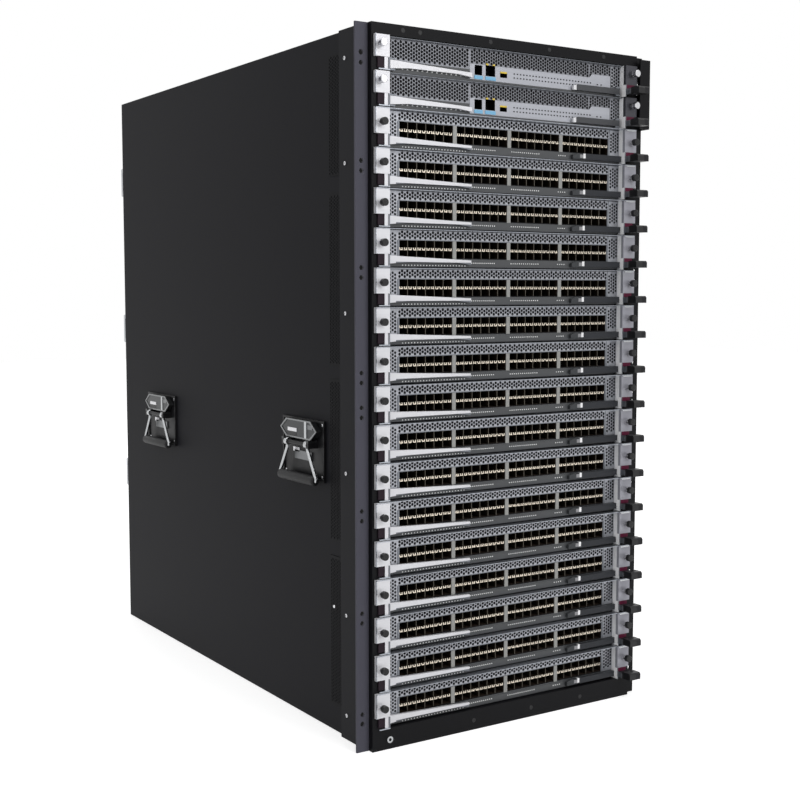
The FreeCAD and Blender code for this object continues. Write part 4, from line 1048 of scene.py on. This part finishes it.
def ring_wire(x, z, y, radius, thick):
    """One ring of a finger guard."""
    vertices, faces = [], []
    turns, sides = 40, 6
    for k in range(turns):
        a = 2 * math.pi * k / turns
        for j in range(sides):
            b = 2 * math.pi * j / sides
            r = radius + thick * math.cos(b)
            vertices.append((x + r * math.cos(a), y + thick * math.sin(b), z + r * math.sin(a)))
    for k in range(turns):
        for j in range(sides):
            a, b = k * sides + j, k * sides + (j + 1) % sides
            c = ((k + 1) % turns) * sides
            faces.append((a, b, c + (j + 1) % sides, c + j))
    return raw(vertices, faces, bare_steel)


def fan_tray_parts(bay):
    """A tray's finger guards, each with a plate in the middle, and its screws."""
    z = BAY_FLOOR + BAY_STEP * (bay + 0.5)
    back = (0, 1, 0)
    parts = []
    for x in (-FAN_X, FAN_X):
        for radius in GUARD_RINGS:
            parts.append(ring_wire(x, z, REAR + 3.4, radius, 1.0))
        parts.append(turned([(0, 14), (1.6, 14), (2.4, 11)], 24, (x, REAR + 2.0, z), back, bare_steel))
    for x in (-206, 206):
        for dz in (-110, 110):
            parts += screw_head((x, REAR + 2.5, z + dz), back, 4.2, 2.6, steel_screw)
    return gather(parts)


def power_module_parts(number):
    """A module's perforated vent, the pins in its inlet and its lamp."""
    column, level = number % MODULES_ABREAST, number // MODULES_ABREAST
    x = (column - (MODULES_ABREAST - 1) / 2) * MODULE_STEP
    z = MODULE_FLOOR + MODULE_RISE * level
    back = (0, 1, 0)
    vent = sheet(-20, 44, 33, 56, -0.6, 0.7, 14, 4, 4.4, 5.0, 1.9, 0.0, bare_steel)
    place = Matrix.Translation((x * MM, (REAR + 2.1) * MM, z * MM))
    vent.transform(place @ Matrix.Rotation(math.pi, 4, "Z"))
    parts = [vent]
    for pin in (-5, 0, 5):
        spot = (x - MODULE_HALF + INLET_IN + PIN_IN + pin, REAR - 13, z + 17)
        parts.append(turned([(0, 1.2), (9, 1.2), (9.6, 0.7)], 10, spot, back, steel_screw))
    parts.append(turned([(0, 1.8), (0.6, 1.4)], 12, (x + 40, REAR + 2, z + 48), back, lamp_white))
    return gather(parts)


for bay, word in enumerate(("lower", "middle", "upper")):
    tray = word + "_fan_tray"
    dress(tray + "_fittings", tray, fan_tray_parts(bay))

for number in range(MODULES):
    module = "power_module_%d" % (number + 1)
    dress(module + "_fittings", module, power_module_parts(number))


# ---------------------------------------------------------------- floor, lamps and camera

FLOOR_HALF, FLOOR_Z = 9000, -0.5
FLOOR_GREY = (0.8, 0.8, 0.8)
FLOOR_GLOW = 0.62
WHITE = (1, 1, 1, 1)
AMBIENT = 0.26


def plain(name, colour, glow):
    """A floor finish that looks white to the camera and keeps shadows."""
    made = bpy.data.materials.new(name)
    made.use_nodes = True
    tree = made.node_tree
    shader = tree.nodes["Principled BSDF"]
    shader.inputs["Base Color"].default_value = colour + (1.0,)
    shader.inputs["Roughness"].default_value = 0.9
    shader.inputs["Emission Color"].default_value = WHITE
    rays = tree.nodes.new("ShaderNodeLightPath")
    seen = math_node(tree, "MAXIMUM", rays.outputs["Is Camera Ray"], rays.outputs["Is Glossy Ray"])
    wire(tree, math_node(tree, "MULTIPLY", seen, glow), shader.inputs["Emission Strength"])
    return made


def studio_floor():
    corners = [(-1, -1), (1, -1), (1, 1), (-1, 1)]
    vertices = [(x * FLOOR_HALF, y * FLOOR_HALF, FLOOR_Z) for x, y in corners]
    return raw(vertices, [(0, 1, 2, 3)], plain("studio_floor", FLOOR_GREY, FLOOR_GLOW))


def studio_world():
    """A white world: full to the camera and in reflections, dim as a light."""
    world = bpy.data.worlds.new("studio")
    world.use_nodes = True
    sky = world.node_tree
    background = sky.nodes["Background"]
    background.inputs["Color"].default_value = WHITE
    rays = sky.nodes.new("ShaderNodeLightPath").outputs
    seen = math_node(sky, "MAXIMUM", rays["Is Camera Ray"], rays["Is Transmission Ray"])
    seen = math_node(sky, "MAXIMUM", seen, rays["Is Glossy Ray"])
    level = math_node(sky, "ADD", math_node(sky, "MULTIPLY", seen, 1.0 - AMBIENT), AMBIENT)
    wire(sky, level, background.inputs["Strength"])
    return world


def lamp(name, place, aim, size, power):
    """A rectangular lamp; places in metres, power in watts."""
    data = bpy.data.lights.new(name, "AREA")
    data.shape = "RECTANGLE"
    data.size, data.size_y = size
    data.energy = power
    made = bpy.data.objects.new(name, data)
    made.location = place
    made.rotation_mode = "QUATERNION"
    made.rotation_quaternion = (Vector(aim) - Vector(place)).to_track_quat("-Z", "Y")
    bpy.context.scene.collection.objects.link(made)


def ceiling_light():
    """A broad, soft light from above."""
    data = bpy.data.lights.new("ceiling", "SUN")
    data.energy = 0.9
    data.angle = math.radians(50)
    made = bpy.data.objects.new("ceiling", data)
    made.rotation_euler = (math.radians(12), math.radians(-8), 0)
    bpy.context.scene.collection.objects.link(made)


floor = shape_object("studio_floor", studio_floor())
bpy.context.scene.world = studio_world()
lamp("front_softbox", (0.4, -3.4, 1.9), (0.0, -0.4, 0.5), (2.2, 1.8), 48)
lamp("left_softbox", (-3.2, -1.4, 1.6), (0.0, 0.0, 0.5), (1.6, 2.2), 10)
lamp("rear_softbox", (0.8, 3.2, 1.8), (0.0, 0.4, 0.5), (2.0, 1.8), 24)
ceiling_light()

EYE = Vector((-1.0804, -1.8119, 0.598))  # metres
YAW, DIP = 0.5767, 0.0845  # radians
SENSOR = 36.0  # millimetres
view = bpy.data.cameras.new("camera")
view.sensor_width = SENSOR
view.lens = 1.6076 * SENSOR
view.clip_start, view.clip_end = 0.01, 60.0
camera = bpy.data.objects.new("camera", view)
look = Vector((math.sin(YAW) * math.cos(DIP), math.cos(YAW) * math.cos(DIP), -math.sin(DIP)))
camera.location = EYE
camera.rotation_mode = "QUATERNION"
camera.rotation_quaternion = look.to_track_quat("-Z", "Y")
bpy.context.scene.collection.objects.link(camera)
bpy.context.scene.camera = camera
bpy.context.scene.view_settings.view_transform = "Standard"
